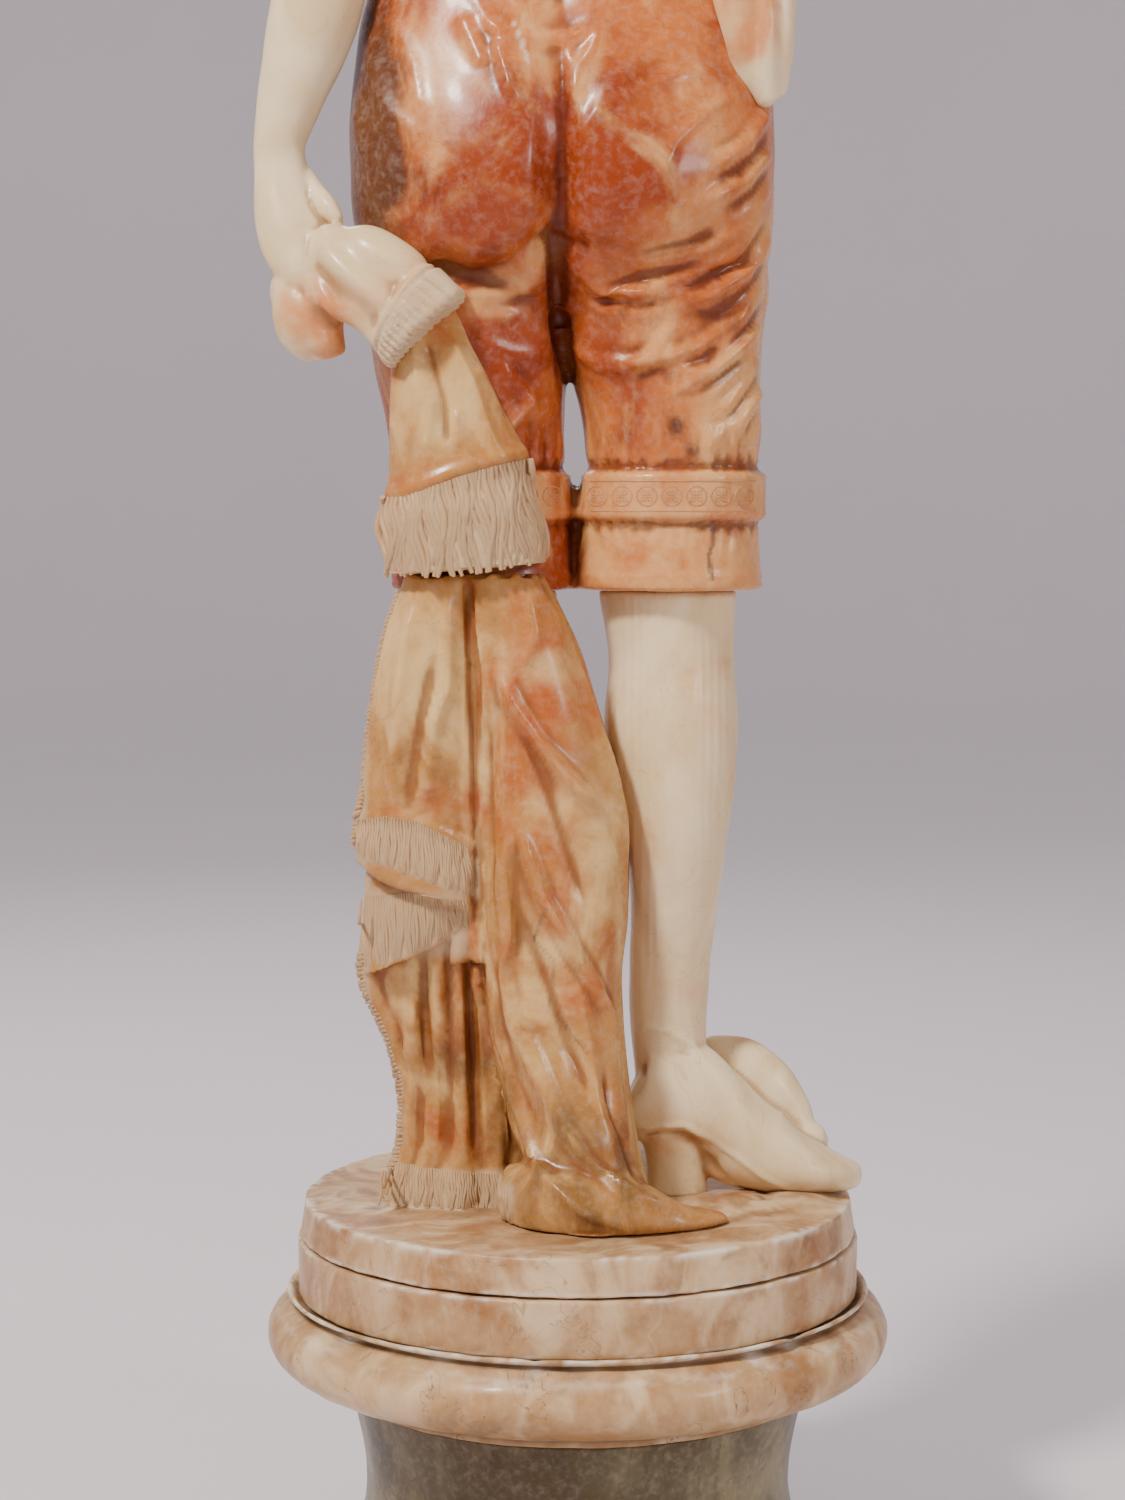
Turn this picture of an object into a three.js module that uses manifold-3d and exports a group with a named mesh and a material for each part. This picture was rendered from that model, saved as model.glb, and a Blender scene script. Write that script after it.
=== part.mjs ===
import * as THREE from 'three';
import { mergeVertices } from 'three/addons/utils/BufferGeometryUtils.js';
import Module from 'manifold-3d';

const wasm = await Module();
wasm.setup();

// All lengths are millimetres, +Z is up, the figure faces -Y and its left side is +X.
// The origin is the centre of the underside of the base.

// The seam left between neighbouring blocks of stone.
const SEAM = 0.3;

// The low socle that carries the cap.
const SOCLE_HEIGHT = 108;
const SOCLE_TOP_RADIUS = 112;
const SOCLE_NECK_RADIUS = 98;
const SOCLE_FOOT_RADIUS = 132;
const SOCLE_FOOT_HEIGHT = 22;
const SOCLE_FOOT_ROUND = 8;

// The round cap with its bulging edge.
const CAP_LIP_MARGIN = 5;
const CAP_LIP_RISE = 2.5;
const CAP_BULGE_RADIUS = 151.5;
const CAP_BULGE_HEIGHT = 38;
const CAP_FILLET_RADIUS = 117;
const CAP_FILLET_HEIGHT = 7.5;
const CAP_REST_MARGIN = 1;

// The plain disc and the thin round slab of ground that the figure stands on.
const DISC_RADIUS = 136.5;
const DISC_THICKNESS = 27.5;
const GROUND_SETBACK = 1;
const GROUND_TAPER = 2;
const GROUND_THICKNESS = 18.7;
const EDGE_ROUND = 1.6;

// How many sides the turned pieces have.
const TURNED_SIDES = 30;

// Height of the figure from the top of the ground to the crown of the hair.
const FIGURE_HEIGHT = 955;

// The figure's own measures below are parts of its height: 955 parts from ground to crown.
const PART = FIGURE_HEIGHT / 955;

// The disc sets the radii of the ground on it and of the lip and rest round its foot.
const GROUND_RADIUS = DISC_RADIUS - GROUND_SETBACK;
const GROUND_TOP_RADIUS = GROUND_RADIUS - GROUND_TAPER;
const CAP_LIP_RADIUS = DISC_RADIUS + CAP_LIP_MARGIN;
const CAP_REST_RADIUS = DISC_RADIUS + CAP_REST_MARGIN;

// Levels of the base, from the underside upward.
const CAP_BOTTOM = SOCLE_HEIGHT + SEAM;
const CAP_TOP = CAP_BOTTOM + CAP_FILLET_HEIGHT + CAP_BULGE_HEIGHT;
const DISC_BOTTOM = CAP_TOP + SEAM;
const DISC_TOP = DISC_BOTTOM + DISC_THICKNESS;
const GROUND_BOTTOM = DISC_TOP + SEAM;
const GROUND_TOP = GROUND_BOTTOM + GROUND_THICKNESS;

// Main levels of the figure, in parts above the ground.
const CUFF_BOTTOM = 294;
const CUFF_TOP = 327;
const BAND_TOP = 350;
const BODICE_TOP = 740;

// Level of the hem of the shawl's upper fall, just above the foot of the cuffs.
const FALL_HEM = CUFF_BOTTOM + 8;

// Turns a closed list of positions and faces into a solid, faces outward.
function solidFrom(positions, faces) {
  const geometry = new THREE.BufferGeometry();
  geometry.setAttribute('position', new THREE.Float32BufferAttribute(positions, 3));
  let volume = 0;
  const a = new THREE.Vector3();
  const b = new THREE.Vector3();
  const c = new THREE.Vector3();
  for (let i = 0; i < faces.length; i += 3) {
    a.fromArray(positions, faces[i] * 3);
    b.fromArray(positions, faces[i + 1] * 3);
    c.fromArray(positions, faces[i + 2] * 3);
    volume += a.dot(b.cross(c));
  }
  if (volume < 0) {
    for (let i = 0; i < faces.length; i += 3) {
      const swap = faces[i];
      faces[i] = faces[i + 1];
      faces[i + 1] = swap;
    }
  }
  geometry.setIndex(faces);
  return solidOf(geometry);
}

// A solid of a closed geometry, with its shared corners merged.
function solidOf(geometry) {
  const bare = geometry.clone();
  bare.deleteAttribute('normal');
  bare.deleteAttribute('uv');
  const merged = mergeVertices(bare, 1e-4);
  return new wasm.Manifold(new wasm.Mesh({
    numProp: 3,
    vertProperties: Float32Array.from(merged.attributes.position.array),
    triVerts: Uint32Array.from(merged.index.array),
  }));
}

// The geometry of a solid, keeping only its largest body.
function geometryOf(solid) {
  let best = solid;
  const bodies = solid.decompose();
  if (bodies.length > 1) {
    best = bodies.reduce((kept, one) => (one.volume() > kept.volume() ? one : kept));
  }
  const mesh = best.getMesh();
  const geometry = new THREE.BufferGeometry();
  geometry.setAttribute('position', new THREE.Float32BufferAttribute(mesh.vertProperties, 3));
  geometry.setIndex(Array.from(mesh.triVerts));
  return geometry;
}

// A closed skin through rings of points, with a fan over each end.
function skin(rings) {
  const sides = rings[0].length;
  const positions = [];
  const faces = [];
  for (const ring of rings) {
    for (const point of ring) {
      positions.push(point.x, point.y, point.z);
    }
  }
  for (let r = 0; r + 1 < rings.length; r++) {
    for (let i = 0; i < sides; i++) {
      const j = (i + 1) % sides;
      const low = r * sides;
      const high = low + sides;
      faces.push(low + i, low + j, high + j);
      faces.push(low + i, high + j, high + i);
    }
  }
  for (const end of [0, rings.length - 1]) {
    const middle = new THREE.Vector3();
    for (const point of rings[end]) {
      middle.addScaledVector(point, 1 / sides);
    }
    const hub = positions.length / 3;
    positions.push(middle.x, middle.y, middle.z);
    for (let i = 0; i < sides; i++) {
      const j = (i + 1) % sides;
      const start = end * sides;
      if (end === 0) {
        faces.push(hub, start + j, start + i);
      } else {
        faces.push(hub, start + i, start + j);
      }
    }
  }
  return solidFrom(positions, faces);
}

// Smooth rows between the rows of a table, at even steps of the first column.
function smoothRows(table, count) {
  const rows = [];
  const first = table[0][0];
  const last = table[table.length - 1][0];
  for (let k = 0; k <= count; k++) {
    const key = first + (last - first) * k / count;
    rows.push(rowAt(table, key));
  }
  return rows;
}

// One row of a table at a key, by a curve through the rows around it.
function rowAt(table, key) {
  const rising = table[table.length - 1][0] > table[0][0];
  let i = 0;
  while (i < table.length - 2 && (rising ? table[i + 1][0] <= key : table[i + 1][0] >= key)) {
    i++;
  }
  const before = table[Math.max(i - 1, 0)];
  const from = table[i];
  const to = table[i + 1];
  const after = table[Math.min(i + 2, table.length - 1)];
  const span = to[0] - from[0];
  const t = (key - from[0]) / span;
  return from.map((value, column) => {
    if (column === 0) {
      return key;
    }
    const inSlope = (to[column] - before[column]) / (to[0] - before[0]) * span;
    const outSlope = (after[column] - from[column]) / (after[0] - from[0]) * span;
    const t2 = t * t;
    const t3 = t2 * t;
    return (2 * t3 - 3 * t2 + 1) * value + (t3 - 2 * t2 + t) * inSlope
      + (3 * t2 - 2 * t3) * to[column] + (t3 - t2) * outSlope;
  });
}

// A point of the figure: parts across, parts toward the back, parts above the ground.
function at(x, y, z) {
  return new THREE.Vector3(x * PART, y * PART, GROUND_TOP + z * PART);
}

// A body of level sections: level, least x, greatest x, front y, back y, squareness.
// relief moves a point outward by what it returns, swell widens the whole body, and
// tilt lifts a point by what it returns, which makes a slanting hem.
function levelBody(table, steps, sides, relief = () => 0, swell = 0, tilt = () => 0) {
  const rows = smoothRows(table, steps);
  const rings = rows.map((row, index) => {
    const [z, x0, x1, y0, y1, power] = row;
    const ring = [];
    const halfX = (x1 - x0) / 2 + swell;
    const halfY = (y1 - y0) / 2 + swell;
    const end = index === 0 ? -1 : index === rows.length - 1 ? 1 : 0;
    const level = z + end * swell * Math.sign(rows[rows.length - 1][0] - rows[0][0]);
    for (let i = 0; i < sides; i++) {
      const turn = 2 * Math.PI * i / sides;
      const c = Math.cos(turn);
      const s = Math.sin(turn);
      const ux = Math.sign(c) * Math.abs(c) ** (2 / power);
      const uy = Math.sign(s) * Math.abs(s) ** (2 / power);
      const x = (x0 + x1) / 2 + halfX * ux;
      const y = (y0 + y1) / 2 + halfY * uy;
      const nx = c / halfX;
      const ny = s / halfY;
      const size = Math.hypot(nx, ny);
      const lift = relief(x, y, z, turn);
      ring.push(at(x + lift * nx / size, y + lift * ny / size, level + tilt(x, level)));
    }
    return ring;
  });
  return skin(rings);
}

// A body along a bent line: x, y, z, half width along side, half width across it.
function limb(table, steps, sides, side, swell = 0) {
  const keyed = table.map((row, i) => [i, ...row]);
  const rows = smoothRows(keyed, steps);
  const centres = rows.map((row) => new THREE.Vector3(row[1], row[2], row[3]));
  const reference = new THREE.Vector3(...side);
  const rings = rows.map((row, index) => {
    const ahead = centres[Math.min(index + 1, rows.length - 1)];
    const behind = centres[Math.max(index - 1, 0)];
    const along = ahead.clone().sub(behind).normalize();
    const broad = reference.clone().addScaledVector(along, -reference.dot(along)).normalize();
    const deep = along.clone().cross(broad);
    const end = index === 0 ? -1 : index === rows.length - 1 ? 1 : 0;
    const ring = [];
    for (let i = 0; i < sides; i++) {
      const turn = 2 * Math.PI * i / sides;
      const point = centres[index].clone();
      point.addScaledVector(along, end * swell);
      point.addScaledVector(broad, (row[4] + swell) * Math.cos(turn));
      point.addScaledVector(deep, (row[5] + swell) * Math.sin(turn));
      ring.push(at(point.x, point.y, point.z));
    }
    return ring;
  });
  return skin(rings);
}

// A turned piece from a profile of radius and height that starts and ends on the axis.
function turned(profile) {
  const points = profile.map(([radius, height]) => new THREE.Vector2(radius, height));
  const geometry = new THREE.LatheGeometry(points, TURNED_SIDES);
  geometry.rotateX(Math.PI / 2);
  return solidOf(geometry);
}

// A box between two corners, in parts of the figure.
function block(x0, x1, y0, y1, z0, z1) {
  const low = at(x0, y0, z0);
  const high = at(x1, y1, z1);
  const size = high.clone().sub(low);
  const geometry = new THREE.BoxGeometry(size.x, size.y, size.z);
  geometry.translate((low.x + high.x) / 2, (low.y + high.y) / 2, (low.z + high.z) / 2);
  return solidOf(geometry);
}

// All bodies joined into one.
function joined(bodies) {
  return bodies.reduce((sum, body) => sum.add(body));
}

// A soft hump of height 1 around a value.
function hump(value, middle, width) {
  return Math.exp(-(((value - middle) / width) ** 2));
}

// A smooth step from 0 to 1 between two values.
function ease(value, from, to) {
  const t = Math.min(Math.max((value - from) / (to - from), 0), 1);
  return t * t * (3 - 2 * t);
}

// How near a point is to a bent line in the picture plane, as a hump of height 1.
function nearLine(x, z, line, width) {
  let least = Infinity;
  for (let i = 0; i + 1 < line.length; i++) {
    const [ax, az] = line[i];
    const [bx, bz] = line[i + 1];
    const dx = bx - ax;
    const dz = bz - az;
    const t = Math.min(Math.max(((x - ax) * dx + (z - az) * dz) / (dx * dx + dz * dz), 0), 1);
    least = Math.min(least, Math.hypot(x - ax - t * dx, z - az - t * dz));
  }
  return Math.exp(-((least / width) ** 2));
}

function socle() {
  const profile = [[0, 0], [SOCLE_FOOT_RADIUS - 2, 0], [SOCLE_FOOT_RADIUS, 2]];
  const round = SOCLE_FOOT_ROUND;
  for (let i = 0; i <= 2; i++) {
    const turn = Math.PI / 2 * i / 2;
    const radius = SOCLE_FOOT_RADIUS - round + round * Math.cos(turn);
    profile.push([radius, SOCLE_FOOT_HEIGHT - round + round * Math.sin(turn)]);
  }
  const low = SOCLE_FOOT_HEIGHT;
  const steps = 5;
  for (let i = 0; i <= steps; i++) {
    const t = i / steps;
    const height = low + (SOCLE_HEIGHT - low) * t;
    const foot = (SOCLE_FOOT_RADIUS - round - 6 - SOCLE_NECK_RADIUS) * (1 - t) ** 4;
    const top = (SOCLE_TOP_RADIUS - SOCLE_NECK_RADIUS) * t ** 1.6;
    profile.push([SOCLE_NECK_RADIUS + foot + top, height]);
  }
  profile.push([0, SOCLE_HEIGHT]);
  return turned(profile);
}

function cap() {
  const profile = [[0, CAP_BOTTOM], [CAP_FILLET_RADIUS, CAP_BOTTOM]];
  const half = CAP_BULGE_HEIGHT / 2;
  const middle = CAP_BOTTOM + CAP_FILLET_HEIGHT + half;
  profile.push([CAP_FILLET_RADIUS, middle - half]);
  const deepRadius = 30;
  for (let i = 0; i <= 6; i++) {
    const turn = -Math.PI / 2 + Math.PI * (i + 0.35) / 7.4;
    const radius = CAP_BULGE_RADIUS - deepRadius + deepRadius * Math.cos(turn) ** 0.8;
    profile.push([radius, middle + half * Math.sin(turn)]);
  }
  profile.push([CAP_LIP_RADIUS, CAP_TOP + CAP_LIP_RISE * 0.4]);
  profile.push([CAP_LIP_RADIUS - 1.2, CAP_TOP + CAP_LIP_RISE]);
  profile.push([CAP_REST_RADIUS, CAP_TOP]);
  profile.push([0, CAP_TOP]);
  return turned(profile);
}

function disc() {
  return turned([
    [0, DISC_BOTTOM],
    [DISC_RADIUS - EDGE_ROUND, DISC_BOTTOM],
    [DISC_RADIUS, DISC_BOTTOM + EDGE_ROUND],
    [DISC_RADIUS, DISC_TOP - EDGE_ROUND],
    [DISC_RADIUS - EDGE_ROUND, DISC_TOP],
    [0, DISC_TOP],
  ]);
}

function ground() {
  return turned([
    [0, GROUND_BOTTOM],
    [GROUND_RADIUS - EDGE_ROUND, GROUND_BOTTOM],
    [GROUND_RADIUS, GROUND_BOTTOM + EDGE_ROUND],
    [GROUND_TOP_RADIUS, GROUND_TOP - EDGE_ROUND],
    [GROUND_TOP_RADIUS - EDGE_ROUND, GROUND_TOP],
    [0, GROUND_TOP],
  ]);
}

// The garment: bodice and knee breeches in one block

const CLEFT_X = 9;

const TORSO = [
  [424, -46, 62, -34, 36, 2],
  [434, -74, 86, -44, 48, 2.1],
  [446, -89, 103, -49, 62, 2.2],
  [466, -92, 106, -52, 70, 2.3],
  [490, -92.5, 107.5, -54, 73, 2.3],
  [515, -92.5, 108, -56, 69, 2.3],
  [545, -91, 105, -57, 59, 2.3],
  [575, -84, 100, -53, 49, 2.25],
  [600, -72, 90, -46, 42, 2.2],
  [620, -64, 81, -41, 38, 2.15],
  [645, -66, 82, -46, 39, 2.2],
  [675, -71, 86, -57, 43, 2.2],
  [702, -74, 89, -64, 47, 2.25],
  [724, -73, 88, -56, 48, 2.3],
  [BODICE_TOP, -69, 84, -46, 46, 2.3],
];

function torsoRelief(x, y, z) {
  let lift = 0;
  if (y > 0) {
    const deep = ease(y, 20, 50);
    lift -= 15 * deep * hump(x, CLEFT_X, 9) * hump(z, 478, 34);
    lift -= 5 * deep * hump(x, CLEFT_X, 12) * hump(z, 535, 34);
    lift += 3 * deep * hump(Math.abs(x - CLEFT_X), 44, 26) * hump(z, 480, 28);
    lift -= 2.5 * deep * hump(x, CLEFT_X, 14) * ease(z, 600, 640);
  } else {
    const front = ease(-y, 20, 42);
    lift += 11 * front * hump(Math.abs(x - 8), 33, 22) * hump(z, 700, 20);
    lift -= 5 * front * hump(x, 8, 9) * hump(z, 704, 24);
    lift += 4 * front * hump(x, 8, 42) * hump(z, 545, 36);
  }
  return lift;
}

// Right leg of the breeches, with its knee band and turned cuff.
const RIGHT_BREECH = [
  [CUFF_BOTTOM, -88, 1, -45, 43, 2.3],
  [310, -87.5, 0.3, -44, 42.5, 2.3],
  [CUFF_TOP - 0.5, -86.5, -1, -43, 42, 2.3],
  [CUFF_TOP + 0.5, -89.3, 0.6, -45.5, 44.5, 2.3],
  [BAND_TOP - 0.5, -89.6, -2.6, -45.5, 44.5, 2.3],
  [BAND_TOP + 0.5, -87, -4.6, -43, 42, 2.3],
  [373, -88.5, -3, -44, 45, 2.25],
  [397, -87.5, 3, -46, 48, 2.2],
  [418, -88.5, 10, -48, 50, 2.2],
  [440, -90.5, 12, -49, 51, 2.2],
  [470, -88, 6, -46, 48, 2.2],
];

const LEFT_BREECH = [
  [CUFF_BOTTOM, 2, 89, -46, 42, 2.3],
  [310, 2.3, 88.5, -45, 41.5, 2.3],
  [CUFF_TOP - 0.5, 3, 87.5, -44, 41, 2.3],
  [CUFF_TOP + 0.5, 1.6, 90, -46.5, 43, 2.3],
  [BAND_TOP - 0.5, 4.2, 91, -46.5, 43, 2.3],
  [BAND_TOP + 0.5, 6.4, 89, -44, 41, 2.3],
  [373, 6, 91, -45, 43, 2.25],
  [397, 5, 96.5, -47, 46, 2.2],
  [418, 3, 100, -48.5, 48, 2.2],
  [440, 6, 103, -49, 49, 2.2],
  [470, 10, 103, -46, 47, 2.2],
];

const BREECH_SIDES = 18;

// Rows of a breech at the levels that its band and cuff need.
function breech(table, swell) {
  const levels = [CUFF_BOTTOM, CUFF_TOP - 0.5, CUFF_TOP + 0.5, BAND_TOP - 0.5,
    BAND_TOP + 0.5, 366, 384, 402, 420, 438, 455, 470];
  const rings = levels.map((level, index) => {
    const row = rowAt(table, level);
    const ring = [];
    const end = index === 0 ? -1 : index === levels.length - 1 ? 1 : 0;
    for (let i = 0; i < BREECH_SIDES; i++) {
      const turn = 2 * Math.PI * i / BREECH_SIDES;
      const c = Math.cos(turn);
      const s = Math.sin(turn);
      const ux = Math.sign(c) * Math.abs(c) ** (2 / row[5]);
      const uy = Math.sign(s) * Math.abs(s) ** (2 / row[5]);
      const fold = 1.1 * ease(level, BAND_TOP, 372) * (1 - ease(level, 430, 455)) * Math.sin(7 * turn + level / 26);
      const x = (row[1] + row[2]) / 2 + ((row[2] - row[1]) / 2 + swell + fold) * ux;
      const y = (row[3] + row[4]) / 2 + ((row[4] - row[3]) / 2 + swell + fold) * uy;
      ring.push(at(x, y, level + end * swell));
    }
    return ring;
  });
  return skin(rings);
}

function garment(swell = 0) {
  return joined([
    levelBody(TORSO, 17, 26, torsoRelief, swell),
    breech(RIGHT_BREECH, swell),
    breech(LEFT_BREECH, swell),
  ]);
}

// Legs and shoes.

const RIGHT_LEG = [
  [40, -62, -28, -16, 18, 2],
  [58, -62, -28, -15, 18, 2],
  [76, -62.5, -26, -14, 18, 2],
  [92, -63, -25, -13, 19, 2],
  [115, -64.5, -25, -13, 22, 2],
  [145, -68, -25.5, -15, 29, 2],
  [178, -72.5, -21, -20, 37, 2],
  [206, -76, -15.5, -23, 39, 2],
  [232, -77, -12.5, -26, 38, 2],
  [258, -75.5, -15, -32, 33, 2],
  [275, -75.5, -13, -34, 32, 2],
  [CUFF_BOTTOM - SEAM, -76.5, -10, -35, 33, 2],
];

// The shoe lies along its own line from heel counter to toe.
const RIGHT_SHOE = [
  [-26.5, 6, 53, 9, 12],
  [-31, 6, 51, 14, 24],
  [-42, 6, 50.5, 16.5, 29],
  [-54, 6, 48, 17.5, 26],
  [-66, 6, 41.5, 18, 21],
  [-78, 6, 32, 19, 18.5],
  [-88, 6, 22.5, 19.5, 20.5],
  [-102, 6, 16, 21, 16],
  [-117, 4, 12, 19.5, 11.7],
  [-128, 1, 9, 14, 8.7],
  [-135, -1, 7.5, 8, 6.5],
  [-138, -2, 7, 3, 4],
];

const RIGHT_HEEL = [
  [0, -63.5, -33, -8, 15, 2.4],
  [8, -62.5, -33.5, -7.5, 14.5, 2.4],
  [18, -63, -33, -8, 15, 2.4],
  [28, -66, -30.5, -10, 17, 2.4],
  [36, -67, -29, -11, 18, 2.4],
];

const LEFT_LEG = [
  [40, 29, 62, -12, 22, 2],
  [76, 28, 63, -11, 22, 2],
  [100, 27, 64, -11, 23, 2],
  [145, 22, 68, -14, 30, 2],
  [178, 17.5, 72, -19, 37, 2],
  [206, 13.5, 75, -23, 39, 2],
  [232, 11.5, 76.5, -27, 38, 2],
  [258, 12, 76, -32, 33, 2],
  [CUFF_BOTTOM - SEAM, 10, 77, -36, 33, 2],
];

const LEFT_SHOE = [
  [45, 25.5, 52, 9, 12],
  [45, 21, 50, 14, 24],
  [46, 10, 49.5, 16.5, 28.5],
  [47, -3, 46.5, 17.5, 25.5],
  [49, -16, 40, 18, 20.5],
  [50.5, -29, 31, 19, 18],
  [52, -40, 22, 19.5, 20],
  [53, -54, 16, 20.5, 16],
  [54, -70, 12, 19, 11.7],
  [54, -82, 9, 13.5, 8.7],
  [54, -90, 7.5, 7.5, 6.5],
  [54, -93, 7, 3, 4],
];

const LEFT_HEEL = [
  [0, 35, 58, -7, 17, 2.4],
  [8, 35.5, 57, -6, 17, 2.4],
  [18, 35, 57.5, -6, 18, 2.4],
  [28, 31, 61, -8, 21, 2.4],
  [36, 30, 61, -9, 22, 2.4],
];

// The bow on the right shoe: a tall loop up the instep, a low one, and two ends at a knot.
function rightBow() {
  return joined([
    limb([
      [-112, -10, 22, 6, 7],
      [-105, -15, 33, 12, 10],
      [-93, -18, 46, 16, 13],
      [-80, -19, 58, 15, 13],
      [-69, -18, 66, 9, 9],
      [-63, -17, 71, 3, 3],
    ], 6, 10, [-0.66, 0, 0.75]),
    limb([
      [-112, -8, 20, 6, 6],
      [-110, -24, 24, 9, 8],
      [-106, -38, 19, 12, 9],
      [-100, -48, 11, 9, 6],
    ], 4, 8, [0, 0, 1]),
    limb([
      [-112, -10, 22, 6, 6],
      [-117, -17, 14, 8.5, 6.5],
      [-117.5, -20, 3, 8.5, 6.5],
    ], 3, 8, [1, 0, 0]),
    limb([
      [-104, -8, 28, 4, 4],
      [-110, -8, 25, 8.5, 8],
      [-117, -10, 22, 8.5, 8],
      [-122, -11, 20, 4, 4],
    ], 3, 8, [0, 0, 1]),
  ]);
}

// The bow on the left shoe, the same ribbon tied across the instep.
function leftBow() {
  const bodies = [
    limb([
      [43, -44, 37, 3, 3],
      [46, -46, 38, 7.5, 7.5],
      [52, -46, 38, 7.5, 7.5],
      [56, -44, 37, 3, 3],
    ], 3, 8, [0, 0, 1]),
  ];
  for (const hand of [-1, 1]) {
    bodies.push(limb([
      [49.5, -43, 37, 4, 4],
      [49.5 + hand * 10, -42, 43, 10, 6.5],
      [49.5 + hand * 22, -41, 44, 13, 8],
      [49.5 + hand * 32, -41, 36, 6, 4],
    ], 4, 8, [0, 0.5, 1]));
  }
  return joined(bodies);
}

// A leg with its shoe, heel and ribbon, cut off level at the sole.
function legAndShoe(leg, shoe, side, heel, ribbon, swell) {
  return joined([
    levelBody(leg, 8, 12, () => 0, swell),
    limb(shoe, 10, 10, side, swell),
    levelBody(heel, 3, 8, () => 0, swell),
    ribbon,
  ]).intersect(block(-300, 300, -300, 300, SEAM, 600));
}

function rightLeg(swell = 0) {
  return legAndShoe(RIGHT_LEG, RIGHT_SHOE, [0, 1, 0], RIGHT_HEEL, rightBow(), swell);
}

function leftLeg(swell = 0) {
  return legAndShoe(LEFT_LEG, LEFT_SHOE, [1, 0, 0], LEFT_HEEL, leftBow(), swell);
}

// The left arm, with the gathered end of the shawl in its hand.

const LEFT_ARM = [
  [110, 1, BODICE_TOP + 12, 22, 25],
  [110, 2, BODICE_TOP - 2, 22, 25],
  [111, 8, 690, 21, 23],
  [111, 14, 652, 18, 20],
  [112, 20, 626, 19, 20],
  [116, 23, 598, 20.5, 20],
  [121, 24, 570, 21.5, 18.5],
  [127.5, 24, 547, 19.5, 16.5],
  [134.5, 24, 524, 15.5, 13.5],
  [139.5, 24, 504, 12.3, 10.5],
  [139, 25, 490, 12.5, 9.5],
  [137, 29, 472, 14.5, 10],
  [132, 34, 456, 16, 10],
  [125, 38, 444, 14, 9],
  [117, 42, 434, 9, 7],
];

// Fingers as base, knuckle and tip across the back of the gathered cloth.
function finger(x, y, z, length, radius) {
  return limb([
    [x + 6, y - 3, z + 7, radius * 0.9, radius * 0.9],
    [x, y, z, radius, radius],
    [x - length * 0.4, y + 3.5, z - length * 0.32, radius, radius],
    [x - length * 0.75, y + 3, z - length * 0.62, radius * 0.85, radius * 0.85],
    [x - length, y, z - length * 0.85, radius * 0.4, radius * 0.4],
  ], 4, 6, [0, 1, 0]);
}

// The bell of gathered cloth that flares from the hand to its short fringe.
const GATHER = [
  [124, 36, 452, 9, 8],
  [115, 40, 450, 14, 12],
  [104, 45, 446, 19, 15],
  [92, 49, 436, 21.5, 16],
  [82, 52, 427, 21, 15],
  [80, 52.5, 425.2, 22.2, 16.2],
  [70, 55, 415, 22.8, 16.5],
];

const HANGING_FOLD = [
  [130, 30, 446, 8, 7],
  [129, 33, 436, 13, 11],
  [126, 36, 424, 17, 13],
  [121, 37, 412, 15, 11],
  [116, 37, 403, 7, 6],
];

function leftArm(swell = 0) {
  const bodies = [
    limb(LEFT_ARM, 14, 10, [1, 0, 0], swell),
    limb(GATHER, 6, 14, [0.7, 0, -0.7], swell),
    limb(HANGING_FOLD, 4, 10, [1, 0, 0.2], swell),
    limb([
      [124, 22, 492, 4, 5],
      [120, 27, 482, 5.5, 6],
      [114, 33, 474, 5, 6],
      [107, 38, 466, 3, 3.5],
    ], 4, 7, [1, 0, 0.4], swell),
  ];
  if (swell === 0) {
    bodies.push(finger(138, 40, 455, 36, 4.8));
    bodies.push(finger(133, 43, 459, 38, 5));
    bodies.push(finger(127, 46, 462, 34, 4.8));
  }
  return joined(bodies);
}

// The right arm, bent forward at the waist, with a scarf over it whose end hangs down.

const RIGHT_ARM = [
  [-96, 1, BODICE_TOP + 12, 22, 25],
  [-96, 0, BODICE_TOP - 2, 22, 25],
  [-99, 8, 695, 21, 23],
  [-103, 16, 662, 18.5, 20],
  [-105, 17, 640, 19, 19],
  [-104, 8, 622, 19, 19],
  [-101, -8, 615, 19, 18],
  [-95, -30, 615, 18, 17],
  [-86, -52, 619, 15, 14],
  [-76, -70, 624, 12, 10.5],
  [-68, -80, 627, 13, 9.5],
  [-58, -90, 627, 14.5, 9],
  [-46, -98, 624, 12, 8],
  [-36, -102, 620, 5, 4],
];

// The scarf end is flat and tongue shaped, cut square at its foot.
const SCARF_END = [
  [-93, -2, 640, 14, 12],
  [-90, 12, 630, 19, 16],
  [-84, 26, 606, 21, 15],
  [-81, 33, 580, 20, 13],
  [-81, 36, 556, 18.5, 12],
  [-84, 36, 538, 15.5, 11],
  [-88, 35, 526, 10.5, 9],
  [-90, 35, 520.5, 7, 7.5],
];

function rightArm(swell = 0) {
  return joined([
    limb(RIGHT_ARM, 13, 10, [1, 0, 0], swell),
    limb(SCARF_END, 7, 12, [1, 0, 0.25], swell),
    limb([
      [-50, -94, 622, 6, 5],
      [-44, -104, 612, 4.5, 4.5],
      [-40, -106, 602, 2.5, 2.5],
    ], 3, 7, [1, 0, 0], swell),
    limb([
      [-88, -30, 606, 12, 6],
      [-92, -28, 590, 15, 7],
      [-93, -27, 570, 14, 7],
      [-92, -27, 552, 9, 5],
    ], 5, 10, [0, 1, 0], swell),
  ]);
}

// An arm cut level under the shoulder, clear of the bodice and breeches.
function belowShoulder(arm) {
  return arm
    .intersect(block(-300, 300, -300, 300, 0, BODICE_TOP))
    .subtract(garment(SEAM + 0.2));
}

// The head and shoulders.

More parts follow.
